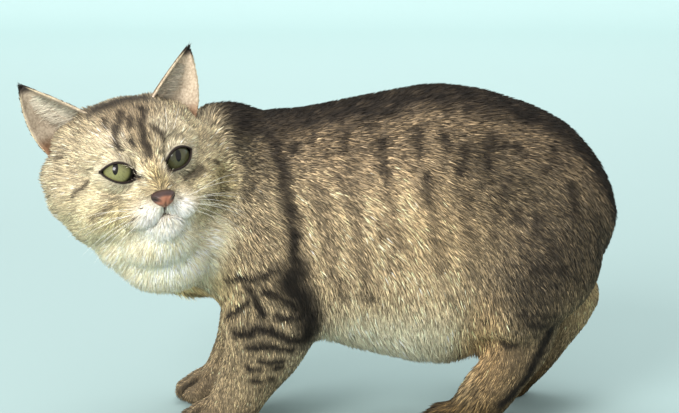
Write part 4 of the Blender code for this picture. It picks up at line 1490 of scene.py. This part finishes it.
# ears: short hair up their backs, a pale fringe on the edges, thin hairs across the cup, dark tips
earHair = {
    # hairs, across, upwards, length in mm, height in mm, width in mm, colour
    "backs": (3000, (-1, 1), (-0.05, 0.98), (2.4, 4.0), 0.6, 0.5, (138, 122, 97)),
    "edges": (760, (0.96, 1), (0.0, 1.0), (1.6, 2.8), 0.7, 0.36, (196, 182, 150)),
    "cups": (900, (-0.98, -0.2), (-0.02, 0.75), (7, 14), 2.4, 0.18, (206, 196, 176)),
    "tips": (80, (-0.6, 0.6), (0.93, 1.0), (3, 6.5), 0.5, 0.45, (44, 39, 36)),
}
grown = {key: [] for key in ("root", "normal", "lie", "length", "height", "width", "tone")}
for side in (1, -1):
    opening = earOpening(side)
    for kind, (count, spanAcross, spanUp, lengths, height, width, tone) in earHair.items():
        across, upwards = rng.uniform(*spanAcross, count), rng.uniform(*spanUp, count)
        if kind == "edges":
            across *= rng.choice((-1, 1), count)
        here = earSheet(side, across, upwards)
        up = unit(earSheet(side, across, upwards + 0.04) - here)
        before, after = (earSheet(side, np.clip(across + step, -1, 1), upwards) for step in (-0.05, 0.05))
        over = unit(after - before)
        facing = unit(np.cross(up, over))
        facing *= np.sign(facing @ opening)[:, None]
        spread = rng.normal(0, 0.14, count)[:, None]
        outward = over * np.sign(across)[:, None]
        tones = np.array(tone) * rng.uniform(0.78, 1.15, count)[:, None]
        goTowards(tones, smoothStep(0.86, 0.97, upwards) * (kind != "cups"), (42, 37, 34))
        lie, normal = unit(up + over * spread), facing
        if kind == "backs":
            here, normal = here - facing * 0.6 * mm, -facing
        elif kind == "edges":
            lie, normal = unit(up + outward * 0.3), unit(outward + facing * 0.3)
        elif kind == "cups":
            here, lie = here + facing * 0.4 * mm, unit(over + up * rng.uniform(0.25, 0.8, count)[:, None])
        else:
            normal = unit(over * rng.normal(0, 1, count)[:, None] + facing * 0.5)
        sizes = rng.uniform(*lengths, count) * mm, np.full(count, height * mm), np.full(count, width * mm)
        for key, value in zip(grown, (here, normal, lie, *sizes, tones)):
            grown[key].append(value)
grown = {key: np.concatenate(value) for key, value in grown.items()}
# each ear hair's root painted darker: painted shade at the root
tones = grown.pop("tone")[:, None, :] * np.array((0.75, 1, 1, 0.95))[None, :, None]
growTufts("earCoat", *grown.values(), np.clip(tones, 3, 255), headLookUp(grown["root"]))
print("ear hair grown:", len(tones))

# whiskers
whiskerShape = {
    # height on the pad in mm, hairs, rise
    "rows": [(-17.5, 2, 0.30), (-20.0, 3, 0.05), (-22.5, 3, -0.22), (-25.0, 2, -0.5)],
    "pad": (13, 25),  # from the middle, first and last hair
    "length": (40, 56),
    "radius": 0.08 * mm,
    "back": -0.5,  # how much they sweep back from straight across
    "droop": 0.24,
    "brow": [(17, 26, 0.25), (21, 25, 0.55)],  # over each eye: across, up, lean
    "browLength": 22,
    "browRadius": 0.07 * mm,
}
whiskerFinish = Finish("whiskerHair", {"Roughness": 0.35, "Specular IOR Level": 0.5})
banding = whiskerFinish.lumps(whiskerFinish.place(), 120, 1.0)
whiskerFinish.into("Base Color", whiskerFinish.mixed(banding, paint(226, 222, 210), paint(250, 248, 240)))
tree = BVHTree.FromObject(skin, bpy.context.evaluated_depsgraph_get())
threads = []


def thread(side, across, up, heading, length, radius, bend):
    # a tapering hair from the face, bending as it goes
    start = Vector(fromHead((side * across, 90, up)))  # well in front of the face
    hit = tree.ray_cast(start, Vector(-headTurn[:, 1]))[0]
    ahead = Vector(headTurn @ (unit(np.array(heading)) * (side, 1, 1)))
    down = Vector(headTurn @ np.array(bend))
    stations = []
    for k in range(13):
        t = k / 12
        place = hit + (ahead * t + down * t * t) * length * mm
        stations.append((place, radius * (1 - t) ** 0.6 + 0.015 * mm))
    threads.append(stations)


for side in (1, -1):
    for height, count, rise in whiskerShape["rows"]:
        for i in range(count):
            along = (i + 0.5) / count
            across, length = (low + along * (high - low) for low, high in (whiskerShape["pad"], whiskerShape["length"]))
            length = length * rng.uniform(0.85, 1.1) * (1 if side < 0 else 0.75)
            heading = (1, 0.1 + whiskerShape["back"] * (0.5 + along), rise + rng.normal(0, 0.07))
            bend = (0, -0.15, -whiskerShape["droop"])
            thread(side, across, height, heading, length, whiskerShape["radius"], bend)
    for across, up, lean in whiskerShape["brow"]:
        heading, bend = (lean, 0.1, 0.9), (0, -0.5, -0.1)
        thread(side, across, up, heading, whiskerShape["browLength"], whiskerShape["browRadius"], bend)
whiskers = tube("whiskers", threads, whiskerFinish)
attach(whiskers, "root")
print("whiskers set:", len(threads))
